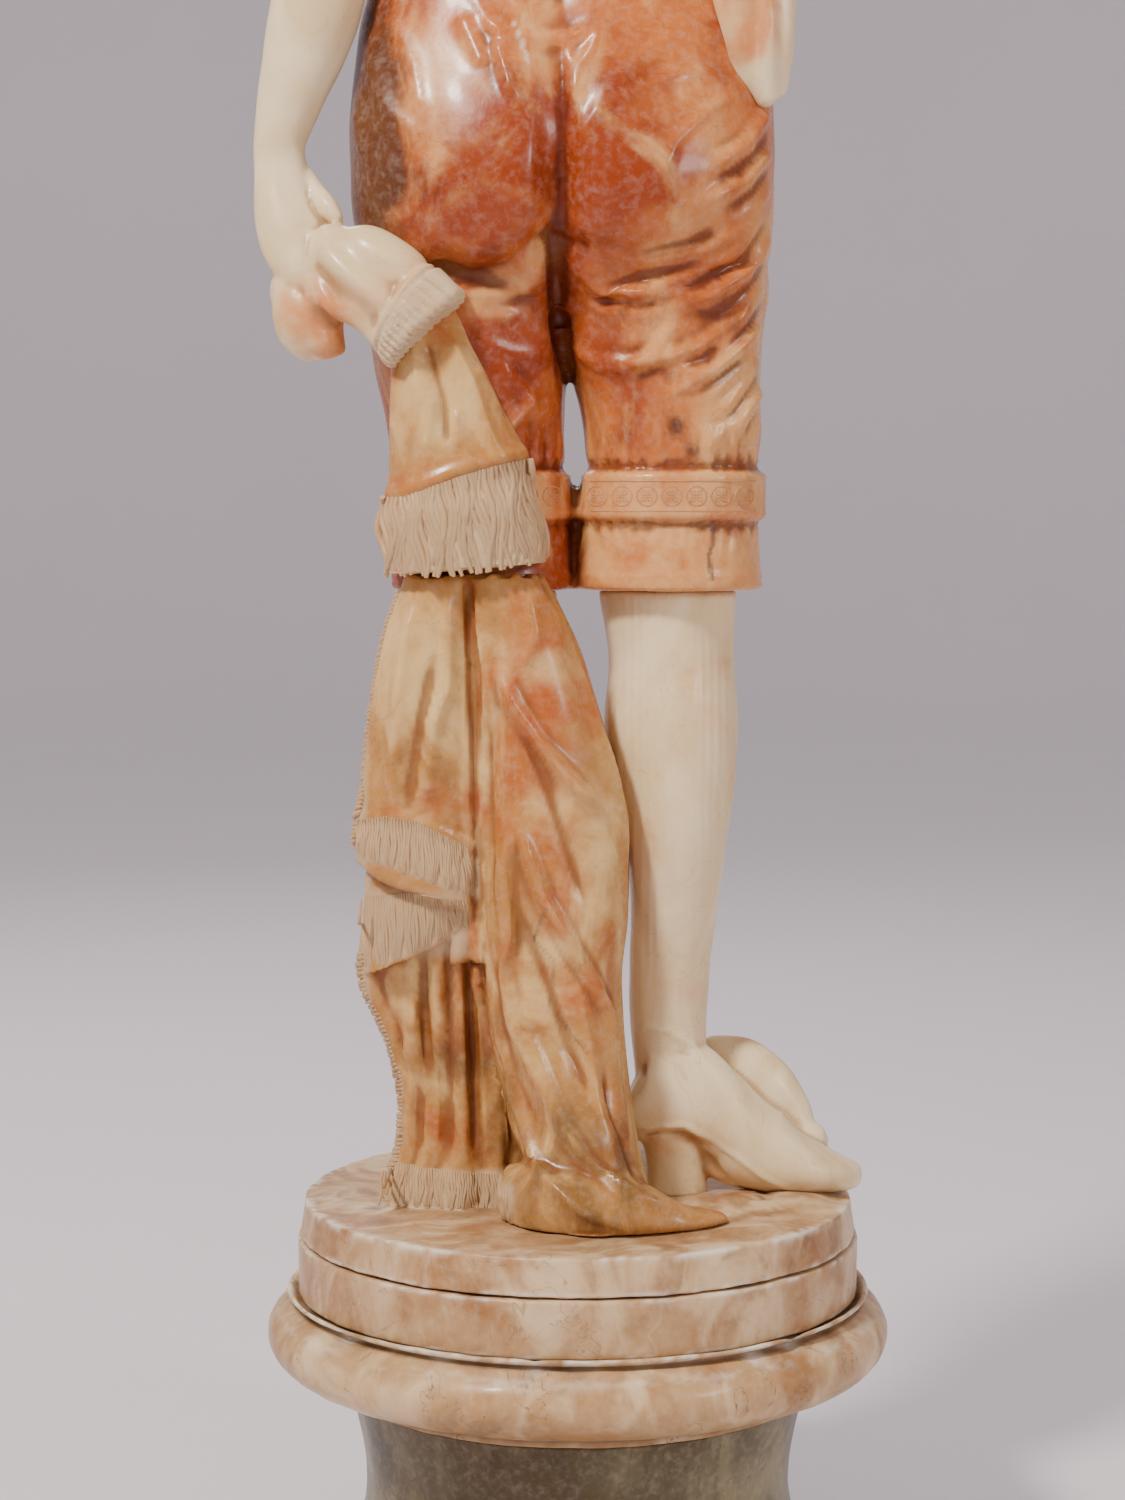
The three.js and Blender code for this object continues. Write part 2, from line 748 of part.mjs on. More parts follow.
const SHOULDERS = [
  [BODICE_TOP + SEAM, -69, 84, -45, 45, 2.3],
  [750, -80, 96, -42, 44, 2.4],
  [759, -97, 112, -37, 41, 2.4],
  [768, -107, 121, -30, 36, 2.3],
  [776, -106, 120, -25, 32, 2.2],
  [783, -88, 102, -22, 30, 2],
  [789, -62, 77, -20, 29, 2],
  [796, -38, 54, -19, 28, 2],
  [804, -24, 40, -19, 27, 2],
  [815, -19, 34.5, -19, 26, 2],
  [834, -18, 33, -23, 26, 2],
  [850, -15, 31, -22, 22, 2],
];

// The head in its own levels, from under the chin to the crown, face toward the front.
const HEAD = [
  [829, -2, 16, -45, -20, 2],
  [832, -8, 22, -50, -6, 2.1],
  [840, -18, 32, -54, 22, 2.1],
  [852, -26, 40, -57, 34, 2.1],
  [866, -30, 44, -58, 42, 2.15],
  [882, -32, 46, -58, 47, 2.2],
  [898, -32.5, 46.5, -57, 49, 2.2],
  [914, -32, 46, -56, 48, 2.15],
  [930, -28, 42, -48, 42, 2.1],
  [943, -18, 32, -34, 30, 2],
  [949, -6, 20, -18, 15, 2],
];

// The hair lies over the skull and leaves the face free.
const HAIR = [
  [850, -14, 28, 20, 40, 2],
  [858, -26, 40, 4, 47, 2.1],
  [872, -34, 48, -14, 53, 2.2],
  [890, -37.5, 51.5, -24, 56, 2.2],
  [906, -38.5, 52.5, -36, 57, 2.2],
  [922, -37, 51, -53, 55, 2.2],
  [936, -31, 45, -55, 48, 2.1],
  [947, -21, 35, -42, 36, 2],
  [FIGURE_HEIGHT / PART, -6, 20, -20, 16, 2],
];

function waves(x, y, z, turn) {
  return 1.3 * Math.sin(9 * turn + z / 9) * ease(z, 850, 870) * (1 - ease(z, 935, 952));
}

function headAndShoulders() {
  const bodies = [
    levelBody(SHOULDERS, 10, 20),
    levelBody(HEAD, 9, 16),
    levelBody(HAIR, 7, 20, waves),
  ];
  for (const [x, lean] of [[110, -1], [-96, 1]]) {
    bodies.push(limb([
      [x, 1, BODICE_TOP - 2, 22, 25],
      [x, 1, 749, 22, 25],
      [x + lean * 2, 1, 759, 20.5, 23.5],
      [x + lean * 6, 1, 767, 15, 18],
      [x + lean * 12, 1, 772, 7, 10],
    ], 4, 8, [1, 0, 0]));
  }
  bodies.push(limb([
    [7, -56, 897, 3, 2.5],
    [7, -59, 888, 3.5, 4],
    [7, -63.5, 877, 6, 5],
    [7, -58, 873, 5, 3],
  ], 4, 8, [1, 0, 0]));
  bodies.push(limb([
    [7, 40, 868, 8, 8],
    [7, 50, 864, 19, 15],
    [7, 60, 862, 20, 16],
    [7, 70, 860, 8, 8],
  ], 4, 10, [1, 0, 0]));
  return joined(bodies).intersect(block(-300, 300, -300, 300, BODICE_TOP + SEAM, 1200));
}

// The shawl.

// Ridges of the long folds that fan out from the deep groove, as points across and up.
const LONG_FOLDS = [
  [[44, 296], [34, 249], [12, 214], [-12, 184]],
  [[36, 292], [10, 252], [-10, 205]],
  [[40, 235], [24, 184], [0, 130], [-20, 76]],
  [[42, 200], [28, 130], [8, 60], [-10, 20]],
  [[40, 130], [30, 80], [12, 36], [-12, 8]],
];

function panelRelief(x, y, z) {
  if (y < 15) {
    return 0;
  }
  let lift = -3;
  for (const fold of LONG_FOLDS) {
    lift += 5 * nearLine(x, z, fold, 8);
  }
  return lift;
}

const RIGHT_PANEL = [
  [-4, -40, 23, 12, 97, 2],
  [8, -37, 25, 11, 92, 2],
  [24, -32, 29, 8, 84, 2.1],
  [46, -27, 34, 5, 74, 2.2],
  [76, -23.5, 41, 2, 66, 2.3],
  [110, -22, 46.5, 0, 64, 2.3],
  [145, -26, 51, -2, 64, 2.3],
  [178, -25, 52, -2, 64, 2.3],
  [207, -20, 53, -2, 63, 2.3],
  [240, -10, 54, 0, 62, 2.3],
  [268, -1, 55, 2, 60, 2.3],
  [287, 8, 56, 4, 58, 2.3],
  [FALL_HEM - 1, 15, 56, 6, 56, 2.3],
];

const LEFT_PANEL = [
  [154, 46, 104.5, 2, 58, 2.6],
  [166, 45, 105, 0, 59, 2.6],
  [180, 46, 103.5, 0, 57, 2.5],
  [196, 46, 102, 0, 57, 2.5],
  [225, 46, 99.5, 0, 57, 2.5],
  [250, 46, 96, 0, 57, 2.5],
  [276, 46, 91, 1, 56, 2.4],
  [290, 46, 86, 2, 55, 2.3],
  [FALL_HEM - 1, 46, 82, 4, 54, 2.3],
];

function leftPanelRelief(x, y, z) {
  if (y < 15) {
    return 0;
  }
  let lift = -2.5 * nearLine(x, z, [[70, 298], [73, 240], [78, 175]], 5);
  lift += 2.5 * nearLine(x, z, [[78, 298], [84, 240], [92, 175]], 5);
  lift += 2 * nearLine(x, z, [[62, 298], [60, 240], [60, 175]], 5);
  return lift;
}

const UNDER_LAYER = [
  [124, 52, 101, 8, 49, 2.4],
  [140, 50, 101, 4, 51, 2.4],
  [160, 48, 100, 2, 50, 2.4],
  [180, 50, 96, 4, 46, 2.4],
];

const INNER_PLEATS = [
  [-4, 22, 93, -10, 45, 2.5],
  [8, 23, 91, -9, 42, 2.5],
  [30, 26, 85, -8, 37, 2.5],
  [52, 28, 84, -6, 34, 2.5],
  [70, 28, 89, -4, 32, 2.5],
  [88, 28, 96, -2, 33, 2.5],
  [106, 28, 103, 0, 36, 2.5],
  [126, 30, 102, 2, 41, 2.5],
  [150, 32, 98, 4, 44, 2.5],
];

function pleats(x, y, z, turn) {
  return y > 0 ? 2.4 * Math.cos(12 * turn) * (1 - ease(z, 120, 150)) : 0;
}

// The end of the shawl that trails over the ground behind the right heel.
const TRAIN = [
  [30, 50, 6, 14, 16],
  [12, 60, 9, 26, 24],
  [-8, 65, 8, 30, 20],
  [-28, 66, 5, 27, 15],
  [-46, 66, 2, 20, 6.5],
  [-59, 64, 1, 13, 3.5],
  [-69, 61, 0.6, 6, 2],
];

function lowerShawl() {
  const hemSlant = (x, z) => (x - 76) * 0.38 * (1 - ease(z, 166, 215));
  const underSlant = (x, z) => (76 - x) * 0.5 * (1 - ease(z, 124, 180));
  const whole = joined([
    levelBody(RIGHT_PANEL, 13, 22, panelRelief),
    levelBody(LEFT_PANEL, 7, 18, leftPanelRelief, 0, hemSlant),
    levelBody(UNDER_LAYER, 3, 14, () => 0, 0, underSlant),
    levelBody(INNER_PLEATS, 6, 36, pleats),
    limb(TRAIN, 6, 12, [0, 1, 0]),
  ]);
  return whole
    .intersect(block(-300, 300, -300, 300, SEAM, FALL_HEM))
    .subtract(leftLeg(SEAM + 0.2))
    .subtract(rightLeg(SEAM + 0.2))
    .subtract(garment(SEAM + 0.2));
}

const UPPER_FALL = [
  [FALL_HEM + 0.5, 14.5, 90.5, 6, 66, 2.5],
  [FALL_HEM + 16, 16.5, 92.5, 6, 67, 2.5],
  [FALL_HEM + 32, 19.5, 92.5, 8, 67, 2.5],
  [FALL_HEM + 37, 21, 90, 10, 64.5, 2.4],
  [FALL_HEM + 52, 24, 88.5, 12, 63.5, 2.4],
  [373, 33, 88, 14, 62, 2.3],
  [392, 41, 87.5, 18, 60.5, 2.2],
  [408, 48, 87, 24, 58, 2.1],
  [420, 53, 84, 30, 56, 2],
  [430, 58, 80, 36, 53, 2],
];

function fallRelief(x, y, z) {
  if (y < 15) {
    return 0;
  }
  let lift = 2.5 * nearLine(x, z, [[66, 420], [52, 380], [38, 345]], 5);
  lift += 2.2 * nearLine(x, z, [[76, 415], [74, 380], [72, 345]], 5);
  lift -= 1.8 * nearLine(x, z, [[70, 415], [62, 375], [54, 345]], 4);
  return lift;
}

function upperShawl() {
  const slant = (x, z) => (76 - x) * (z > 336 ? 0.1 : 0.08) * (1 - ease(z, 345, 400));
  return levelBody(UPPER_FALL, 10, 22, fallRelief, 0, slant)
    .intersect(block(-300, 300, -300, 300, FALL_HEM + SEAM, 500))
    .subtract(garment(SEAM + 0.2))
    .subtract(leftArm(SEAM + 0.2));
}

const group = new THREE.Group();

function addPiece(name, solid, colour, roughness) {
  const material = new THREE.MeshStandardMaterial({ color: colour, roughness, metalness: 0 });
  const mesh = new THREE.Mesh(geometryOf(solid), material);
  mesh.name = name;
  group.add(mesh);
  return mesh;
}

addPiece('pedestal_socle', socle(), 0xb9ab92, 0.35);
addPiece('pedestal_cap', cap(), 0xc9ab7e, 0.35);
addPiece('plinth_disc', disc(), 0xcdb59c, 0.4);
addPiece('ground_slab', ground(), 0xcbb8a4, 0.5);
addPiece('breeches_and_bodice', garment(), 0xc07a4b, 0.3);
addPiece('right_leg_and_shoe', rightLeg(), 0xd9cbb0, 0.32);
addPiece('left_leg_and_shoe', leftLeg(), 0xd9cbb0, 0.32);
addPiece('shawl_lower_drape', lowerShawl(), 0xd6a67c, 0.35);
addPiece('shawl_upper_fall', upperShawl(), 0xd6a67c, 0.35);
addPiece('left_arm_and_gather', belowShoulder(leftArm()), 0xdccfb5, 0.3);
addPiece('right_arm_and_scarf', belowShoulder(rightArm()), 0xdccfb5, 0.3);
addPiece('head_and_shoulders', headAndShoulders(), 0xdccfb5, 0.3);

export default group;
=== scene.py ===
import math

import bpy
import numpy as np
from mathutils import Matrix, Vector
from mathutils.bvhtree import BVHTree


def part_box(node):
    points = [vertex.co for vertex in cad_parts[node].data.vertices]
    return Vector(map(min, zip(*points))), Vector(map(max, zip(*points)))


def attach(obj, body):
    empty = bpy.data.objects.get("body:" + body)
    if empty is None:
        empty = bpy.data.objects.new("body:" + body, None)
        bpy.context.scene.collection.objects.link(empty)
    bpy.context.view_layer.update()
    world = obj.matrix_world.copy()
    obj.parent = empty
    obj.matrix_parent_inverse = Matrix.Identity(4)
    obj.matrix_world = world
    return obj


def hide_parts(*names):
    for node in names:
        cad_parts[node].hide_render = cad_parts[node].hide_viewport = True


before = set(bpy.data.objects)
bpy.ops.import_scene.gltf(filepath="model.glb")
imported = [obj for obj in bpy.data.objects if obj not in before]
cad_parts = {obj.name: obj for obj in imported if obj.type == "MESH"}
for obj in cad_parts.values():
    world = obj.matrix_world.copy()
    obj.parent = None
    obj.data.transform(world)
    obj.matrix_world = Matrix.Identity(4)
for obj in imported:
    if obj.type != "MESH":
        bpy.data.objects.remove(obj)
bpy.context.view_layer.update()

# Lengths are millimetres from the middle of the ground slab's top: x to the figure's left,
# y to its back, z up. Everything becomes metres above the floor when it is set down.
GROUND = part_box("ground_slab")[1][2] * 1000
CUFF_BOTTOM, CUFF_TOP, BAND_TOP, BODICE_TOP = 294, 327, 350, 740
FALL_HEM = CUFF_BOTTOM + 8
BAND_MIDDLE = (CUFF_TOP + BAND_TOP) / 2
SEAM = 0.3
CLEFT_X, CHEST_X, FACE_X = 9, 8, 7
ACROSS, BACK, UP = (1, 0, 0), (0, 1, 0), (0, 0, 1)

# Level sections: level, least x, greatest x, front y, back y, squareness.
# Bent sections: x, y, z, half width along the side, half width across it.
TORSO = [
    (424, -46, 62, -34, 36, 2), (434, -74, 86, -44, 48, 2.1), (446, -89, 103, -49, 62, 2.2),
    (466, -92, 106, -52, 70, 2.3), (490, -92.5, 107.5, -54, 73, 2.3), (515, -92.5, 108, -56, 69, 2.3),
    (545, -91, 105, -57, 59, 2.3), (575, -84, 100, -53, 49, 2.25), (600, -72, 90, -46, 42, 2.2),
    (620, -64, 81, -41, 38, 2.15), (645, -66, 82, -46, 39, 2.2), (675, -71, 86, -57, 43, 2.2),
    (702, -74, 89, -64, 47, 2.25), (724, -73, 88, -56, 48, 2.3), (BODICE_TOP, -69, 84, -46, 46, 2.3),
]
RIGHT_BREECH = [
    (CUFF_BOTTOM, -88, 1, -45, 43, 2.3), (310, -87.5, 0.3, -44, 42.5, 2.3),
    (CUFF_TOP - 0.5, -86.5, -1, -43, 42, 2.3), (CUFF_TOP + 0.5, -89.3, 0.6, -45.5, 44.5, 2.3),
    (BAND_TOP - 0.5, -89.6, -2.6, -45.5, 44.5, 2.3), (BAND_TOP + 0.5, -87, -4.6, -43, 42, 2.3),
    (373, -88.5, -3, -44, 45, 2.25), (397, -87.5, 3, -46, 48, 2.2), (418, -88.5, 10, -48, 50, 2.2),
    (440, -90.5, 12, -49, 51, 2.2), (470, -88, 6, -46, 48, 2.2),
]
LEFT_BREECH = [
    (CUFF_BOTTOM, 2, 89, -46, 42, 2.3), (310, 2.3, 88.5, -45, 41.5, 2.3),
    (CUFF_TOP - 0.5, 3, 87.5, -44, 41, 2.3), (CUFF_TOP + 0.5, 1.6, 90, -46.5, 43, 2.3),
    (BAND_TOP - 0.5, 4.2, 91, -46.5, 43, 2.3), (BAND_TOP + 0.5, 6.4, 89, -44, 41, 2.3),
    (373, 6, 91, -45, 43, 2.25), (397, 5, 96.5, -47, 46, 2.2), (418, 3, 100, -48.5, 48, 2.2),
    (440, 6, 103, -49, 49, 2.2), (470, 10, 103, -46, 47, 2.2),
]
RIGHT_LEG = [
    (40, -62, -28, -16, 18, 2), (58, -62, -28, -15, 18, 2), (76, -62.5, -26, -14, 18, 2),
    (92, -63, -25, -13, 19, 2), (115, -64.5, -25, -13, 22, 2), (145, -68, -25.5, -15, 29, 2),
    (178, -72.5, -21, -20, 37, 2), (206, -76, -15.5, -23, 39, 2), (232, -77, -12.5, -26, 38, 2),
    (258, -75.5, -15, -32, 33, 2), (275, -75.5, -13, -34, 32, 2),
    (CUFF_BOTTOM - SEAM, -76.5, -10, -35, 33, 2),
]
RIGHT_SHOE = [
    (-26.5, 6, 53, 9, 12), (-31, 6, 51, 14, 24), (-42, 6, 50.5, 16.5, 29), (-54, 6, 48, 17.5, 26),
    (-66, 6, 41.5, 18, 21), (-78, 6, 32, 19, 18.5), (-88, 6, 22.5, 19.5, 20.5), (-102, 6, 16, 21, 16),
    (-117, 4, 12, 19.5, 11.7), (-128, 1, 9, 14, 8.7), (-135, -1, 7.5, 8, 6.5), (-138, -2, 7, 3, 4),
]
RIGHT_HEEL = [
    (0, -63.5, -33, -8, 15, 2.4), (8, -62.5, -33.5, -7.5, 14.5, 2.4), (18, -63, -33, -8, 15, 2.4),
    (28, -66, -30.5, -10, 17, 2.4), (36, -67, -29, -11, 18, 2.4),
]
LEFT_LEG = [
    (40, 29, 62, -12, 22, 2), (76, 28, 63, -11, 22, 2), (100, 27, 64, -11, 23, 2),
    (145, 22, 68, -14, 30, 2), (178, 17.5, 72, -19, 37, 2), (206, 13.5, 75, -23, 39, 2),
    (232, 11.5, 76.5, -27, 38, 2), (258, 12, 76, -32, 33, 2), (CUFF_BOTTOM - SEAM, 10, 77, -36, 33, 2),
]
LEFT_SHOE = [
    (45, 25.5, 52, 9, 12), (45, 21, 50, 14, 24), (46, 10, 49.5, 16.5, 28.5), (47, -3, 46.5, 17.5, 25.5),
    (49, -16, 40, 18, 20.5), (50.5, -29, 31, 19, 18), (52, -40, 22, 19.5, 20), (53, -54, 16, 20.5, 16),
    (54, -70, 12, 19, 11.7), (54, -82, 9, 13.5, 8.7), (54, -90, 7.5, 7.5, 6.5), (54, -93, 7, 3, 4),
]
LEFT_HEEL = [
    (0, 35, 58, -7, 17, 2.4), (8, 35.5, 57, -6, 17, 2.4), (18, 35, 57.5, -6, 18, 2.4),
    (28, 31, 61, -8, 21, 2.4), (36, 30, 61, -9, 22, 2.4),
]
LEFT_ARM = [
    (110, 1, BODICE_TOP + 12, 22, 25), (110, 2, BODICE_TOP - 2, 22, 25), (111, 8, 690, 21, 23),
    (111, 14, 652, 18, 20), (112, 20, 626, 19, 20), (116, 23, 598, 20.5, 20), (121, 24, 570, 21.5, 18.5),
    (127.5, 24, 547, 19.5, 16.5), (134.5, 24, 524, 15.5, 13.5), (139.5, 24, 504, 12.3, 10.5),
    (139, 25, 490, 12.5, 9.5), (137, 29, 472, 14.5, 10), (132, 34, 456, 16, 10), (125, 38, 444, 14, 9),
    (117, 42, 434, 9, 7),
]
GATHER = [
    (124, 36, 452, 9, 8), (115, 40, 450, 14, 12), (104, 45, 446, 19, 15), (92, 49, 436, 21.5, 16),
    (82, 52, 427, 21, 15), (80, 52.5, 425.2, 22.2, 16.2), (70, 55, 415, 22.8, 16.5),
]
HANGING_FOLD = [
    (130, 30, 446, 8, 7), (129, 33, 436, 13, 11), (126, 36, 424, 17, 13), (121, 37, 412, 15, 11),
    (116, 37, 403, 7, 6),
]
RIGHT_ARM = [
    (-96, 1, BODICE_TOP + 12, 22, 25), (-96, 0, BODICE_TOP - 2, 22, 25), (-99, 8, 695, 21, 23),
    (-103, 16, 662, 18.5, 20), (-105, 17, 640, 19, 19), (-104, 8, 622, 19, 19), (-101, -8, 615, 19, 18),
    (-95, -30, 615, 18, 17), (-86, -52, 619, 15, 14), (-76, -70, 624, 12, 10.5), (-68, -80, 627, 13, 9.5),
    (-58, -90, 627, 14.5, 9), (-46, -98, 624, 12, 8), (-36, -102, 620, 5, 4),
]
SCARF_END = [
    (-93, -2, 640, 14, 12), (-90, 12, 630, 19, 16), (-84, 26, 606, 21, 15), (-81, 33, 580, 20, 13),
    (-81, 36, 556, 18.5, 12), (-84, 36, 538, 15.5, 11), (-88, 35, 526, 10.5, 9), (-90, 35, 520.5, 7, 7.5),
]
SHOULDERS = [
    (BODICE_TOP + SEAM, -69, 84, -45, 45, 2.3), (750, -80, 96, -42, 44, 2.4),
    (759, -97, 112, -37, 41, 2.4), (768, -107, 121, -30, 36, 2.3), (776, -106, 120, -25, 32, 2.2),
    (783, -88, 102, -22, 30, 2), (789, -62, 77, -20, 29, 2), (796, -38, 54, -19, 28, 2),
    (804, -24, 40, -19, 27, 2), (815, -19, 34.5, -19, 26, 2), (834, -18, 33, -23, 26, 2),
    (850, -15, 31, -22, 22, 2),
]
HEAD = [
    (829, -2, 16, -45, -20, 2), (832, -8, 22, -50, -6, 2.1), (840, -18, 32, -54, 22, 2.1),
    (852, -26, 40, -57, 34, 2.1), (866, -30, 44, -58, 42, 2.15), (882, -32, 46, -58, 47, 2.2),
    (898, -32.5, 46.5, -57, 49, 2.2), (914, -32, 46, -56, 48, 2.15), (930, -28, 42, -48, 42, 2.1),
    (943, -18, 32, -34, 30, 2), (949, -6, 20, -18, 15, 2),
]
HAIR = [
    (850, -14, 28, 20, 40, 2), (858, -26, 40, 4, 47, 2.1), (872, -34, 48, -14, 53, 2.2),
    (890, -37.5, 51.5, -24, 56, 2.2), (906, -38.5, 52.5, -36, 57, 2.2), (922, -37, 51, -53, 55, 2.2),
    (936, -31, 45, -55, 48, 2.1), (947, -21, 35, -42, 36, 2), (955, -6, 20, -20, 16, 2),
]
RIGHT_PANEL = [
    (-4, -40, 23, 12, 97, 2), (8, -37, 25, 11, 92, 2), (24, -32, 29, 8, 84, 2.1),
    (46, -27, 34, 5, 74, 2.2), (76, -23.5, 41, 2, 66, 2.3), (110, -22, 46.5, 0, 64, 2.3),
    (145, -26, 51, -2, 64, 2.3), (178, -25, 52, -2, 64, 2.3), (207, -20, 53, -2, 63, 2.3),
    (240, -10, 54, 0, 62, 2.3), (268, -1, 55, 2, 60, 2.3), (287, 8, 56, 4, 58, 2.3),
    (FALL_HEM - 1, 15, 56, 6, 56, 2.3),
]
LEFT_PANEL = [
    (154, 46, 104.5, 2, 58, 2.6), (166, 45, 105, 0, 59, 2.6), (180, 46, 103.5, 0, 57, 2.5),
    (196, 46, 102, 0, 57, 2.5), (225, 46, 99.5, 0, 57, 2.5), (250, 46, 96, 0, 57, 2.5),
    (276, 46, 91, 1, 56, 2.4), (290, 46, 86, 2, 55, 2.3), (FALL_HEM - 1, 46, 82, 4, 54, 2.3),
]
UNDER_LAYER = [
    (124, 52, 101, 8, 49, 2.4), (140, 50, 101, 4, 51, 2.4), (160, 48, 100, 2, 50, 2.4),
    (180, 50, 96, 4, 46, 2.4),
]
INNER_PLEATS = [
    (-4, 22, 93, -10, 45, 2.5), (8, 23, 91, -9, 42, 2.5), (30, 26, 85, -8, 37, 2.5),
    (52, 28, 84, -6, 34, 2.5), (70, 28, 89, -4, 32, 2.5), (88, 28, 96, -2, 33, 2.5),
    (106, 28, 103, 0, 36, 2.5), (126, 30, 102, 2, 41, 2.5), (150, 32, 98, 4, 44, 2.5),
]
TRAIN = [
    (30, 50, 6, 14, 16), (12, 60, 9, 26, 24), (-8, 65, 8, 30, 20), (-28, 66, 5, 27, 15),
    (-46, 66, 2, 20, 6.5), (-59, 64, 1, 13, 3.5), (-69, 61, 0.6, 6, 2),
]
UPPER_FALL = [
    (FALL_HEM + 0.5, 14.5, 90.5, 6, 66, 2.5), (FALL_HEM + 16, 16.5, 92.5, 6, 67, 2.5),
    (FALL_HEM + 32, 19.5, 92.5, 8, 67, 2.5), (FALL_HEM + 37, 21, 90, 10, 64.5, 2.4),
    (FALL_HEM + 52, 24, 88.5, 12, 63.5, 2.4), (373, 33, 88, 14, 62, 2.3), (392, 41, 87.5, 18, 60.5, 2.2),
    (408, 48, 87, 24, 58, 2.1), (420, 53, 84, 30, 56, 2), (430, 58, 80, 36, 53, 2),
]

# Folds as (line of points across and up, half width, height). Hollows have negative heights.
BREECH_FOLDS = [
    ([(54, 558), (48, 545), (43, 533)], 4, 1.8),
    ([(37, 546), (34, 534), (29, 517)], 3.2, 2.6),
    ([(8, 553), (2, 528), (-2, 505), (-3, 492)], 3.5, 1.5),
    ([(11, 456), (-5, 449), (-28, 446), (-51, 452), (-72, 464)], 6, -4.6),
    ([(6, 447), (-10, 434), (-28, 432), (-51, 440), (-70, 450), (-85, 469)], 3.2, 3.2),
    ([(3, 438), (-12, 424), (-30, 421), (-54, 428), (-76, 443), (-88, 458)], 3.4, 1.8),
    ([(4, 410), (-10, 398), (-24, 397), (-37, 407), (-45, 420)], 3, 2.6),
    ([(-38, 408), (-49, 395), (-61, 397), (-74, 406), (-84, 420)], 3, 2.4),
    ([(-88, 519), (-76, 500), (-62, 488)], 3.5, 2.2), ([(-89, 500), (-76, 482), (-58, 470)], 3.5, 2.4),
    ([(-88, 482), (-74, 466), (-60, 458)], 3.2, 2), ([(-89, 462), (-76, 440), (-55, 426)], 3.5, 2.6),
    ([(-88, 440), (-76, 421), (-62, 402)], 3.4, 2.4), ([(-87, 419), (-76, 398), (-60, 384)], 3.4, 2.2),
    ([(-86, 393), (-74, 374), (-58, 360)], 3.4, 2), ([(-86, 372), (-76, 360)], 3, 1.6),
    ([(72, 446), (50, 439), (34, 442), (20, 453), (11, 461)], 6, -4.6),
    ([(60, 433), (48, 431), (34, 432), (18, 438)], 3.2, 2.4),
    ([(36, 400), (30, 391), (24, 386), (19, 374)], 2.6, 2.2), ([(36, 367), (28, 374), (20, 386)], 2.6, 1.8),
    ([(56, 423), (40, 421), (28, 422)], 2, 1.5), ([(52, 412), (30, 404), (14, 404)], 4, 1.3),
    ([(46, 556), (34, 550), (18, 546), (2, 548), (-8, 553)], 3.5, 1.8),
    ([(-58, 534), (-40, 528), (-24, 521), (-10, 512), (0, 500)], 3, 1.3),
    ([(-48, 552), (-30, 540), (-14, 524), (-4, 506)], 3.5, 1.2),
    ([(98, 551), (90, 524), (86, 500), (88, 478)], 4.5, 1.8), ([(86, 560), (76, 536), (72, 512)], 4, 1.6),
    ([(104, 520), (98, 494), (92, 474)], 4, 1.8), ([(100, 468), (92, 452), (84, 444)], 3.5, 1.6),
    ([(-16, 372), (-12, 360), (-10, 352)], 3, 1.4), ([(-40, 366), (-36, 358), (-36, 351)], 3, 1.3),
    ([(-60, 372), (-62, 360), (-60, 351)], 3, 1.3), ([(13, 372), (12, 360), (14, 352)], 3, 1.2),
    ([(-88, 483), (-78, 464), (-58, 451), (-30, 445), (2, 450)], 3.0, 2.6),
    ([(-87, 460), (-76, 442), (-58, 430), (-30, 431), (-5, 435)], 2.8, 2.6),
    ([(-87, 445), (-74, 422), (-55, 407), (-30, 400), (-5, 403)], 2.8, 2.8),
    ([(-87, 425), (-76, 410), (-62, 396), (-42, 385)], 2.6, 2.6),
    ([(-87, 407), (-77, 392), (-66, 377)], 2.6, 2.6),
    ([(-87, 390), (-77, 375), (-69, 359)], 2.6, 2.4),
    ([(-88, 499), (-76, 483), (-58, 474)], 2.6, 2),
    ([(-88, 517), (-78, 499), (-62, 490)], 2.6, 2),
    ([(102, 503), (88, 490), (66, 483)], 4, 1.6),
    ([(98, 534), (88, 517), (74, 503)], 4, 1.4),
    ([(38, 545), (33, 532), (30, 520)], 2.6, 1.6),
    ([(48, 566), (38, 552), (27, 538), (18, 524)], 3, 1.4),
    ([(-72, 524), (-58, 513), (-44, 499), (-37, 482)], 3, 1.4),
    ([(-12, 552), (-1, 534), (3, 517)], 3, 1.4),
    ([(11, 466), (10.5, 446), (9, 420), (6, 398), (4, 380)], 3.5, -6),
    ([(12, 620), (9, 590), (9, 560)], 6, -2), ([(40, 640), (48, 600), (62, 572)], 5, 1.4),
    ([(-24, 640), (-34, 602), (-50, 576)], 5, 1.4), ([(26, 600), (34, 580), (50, 566)], 4, 1.2),
]
DRAPE_FOLDS = [
    ([(76, 290), (83, 252), (86, 220), (87, 192)], 3.6, 3.4), ([(61, 288), (61, 250), (70, 228)], 3.4, 2.6),
    ([(66, 240), (72, 195)], 3.4, 2.2), ([(96, 262), (100, 225), (99, 196)], 3, 1.6),
    ([(47, 297), (45, 273), (42, 255), (43, 225)], 3, 3),
    ([(36, 258), (30, 242), (18, 224), (1, 203), (-12, 191)], 3.6, 4.6),
    ([(18, 297), (1, 267), (-8, 237), (-19, 200), (-23, 168)], 3.6, 2.6),
    ([(31, 186), (35, 157), (34, 126)], 3, 3),
    ([(51, 302), (49, 242), (48, 178), (48, 142)], 1.8, -3.4),
    ([(26, 236), (9, 186), (-5, 146)], 6, -3), ([(42, 240), (41, 186), (40, 150)], 3, -2),
    ([(68, 262), (76, 215), (79, 195)], 3.4, -2.4), ([(8, 284), (-2, 250), (-10, 218)], 4, -2),
    ([(24, 296), (20, 275), (26, 258)], 4, 2.2),
]
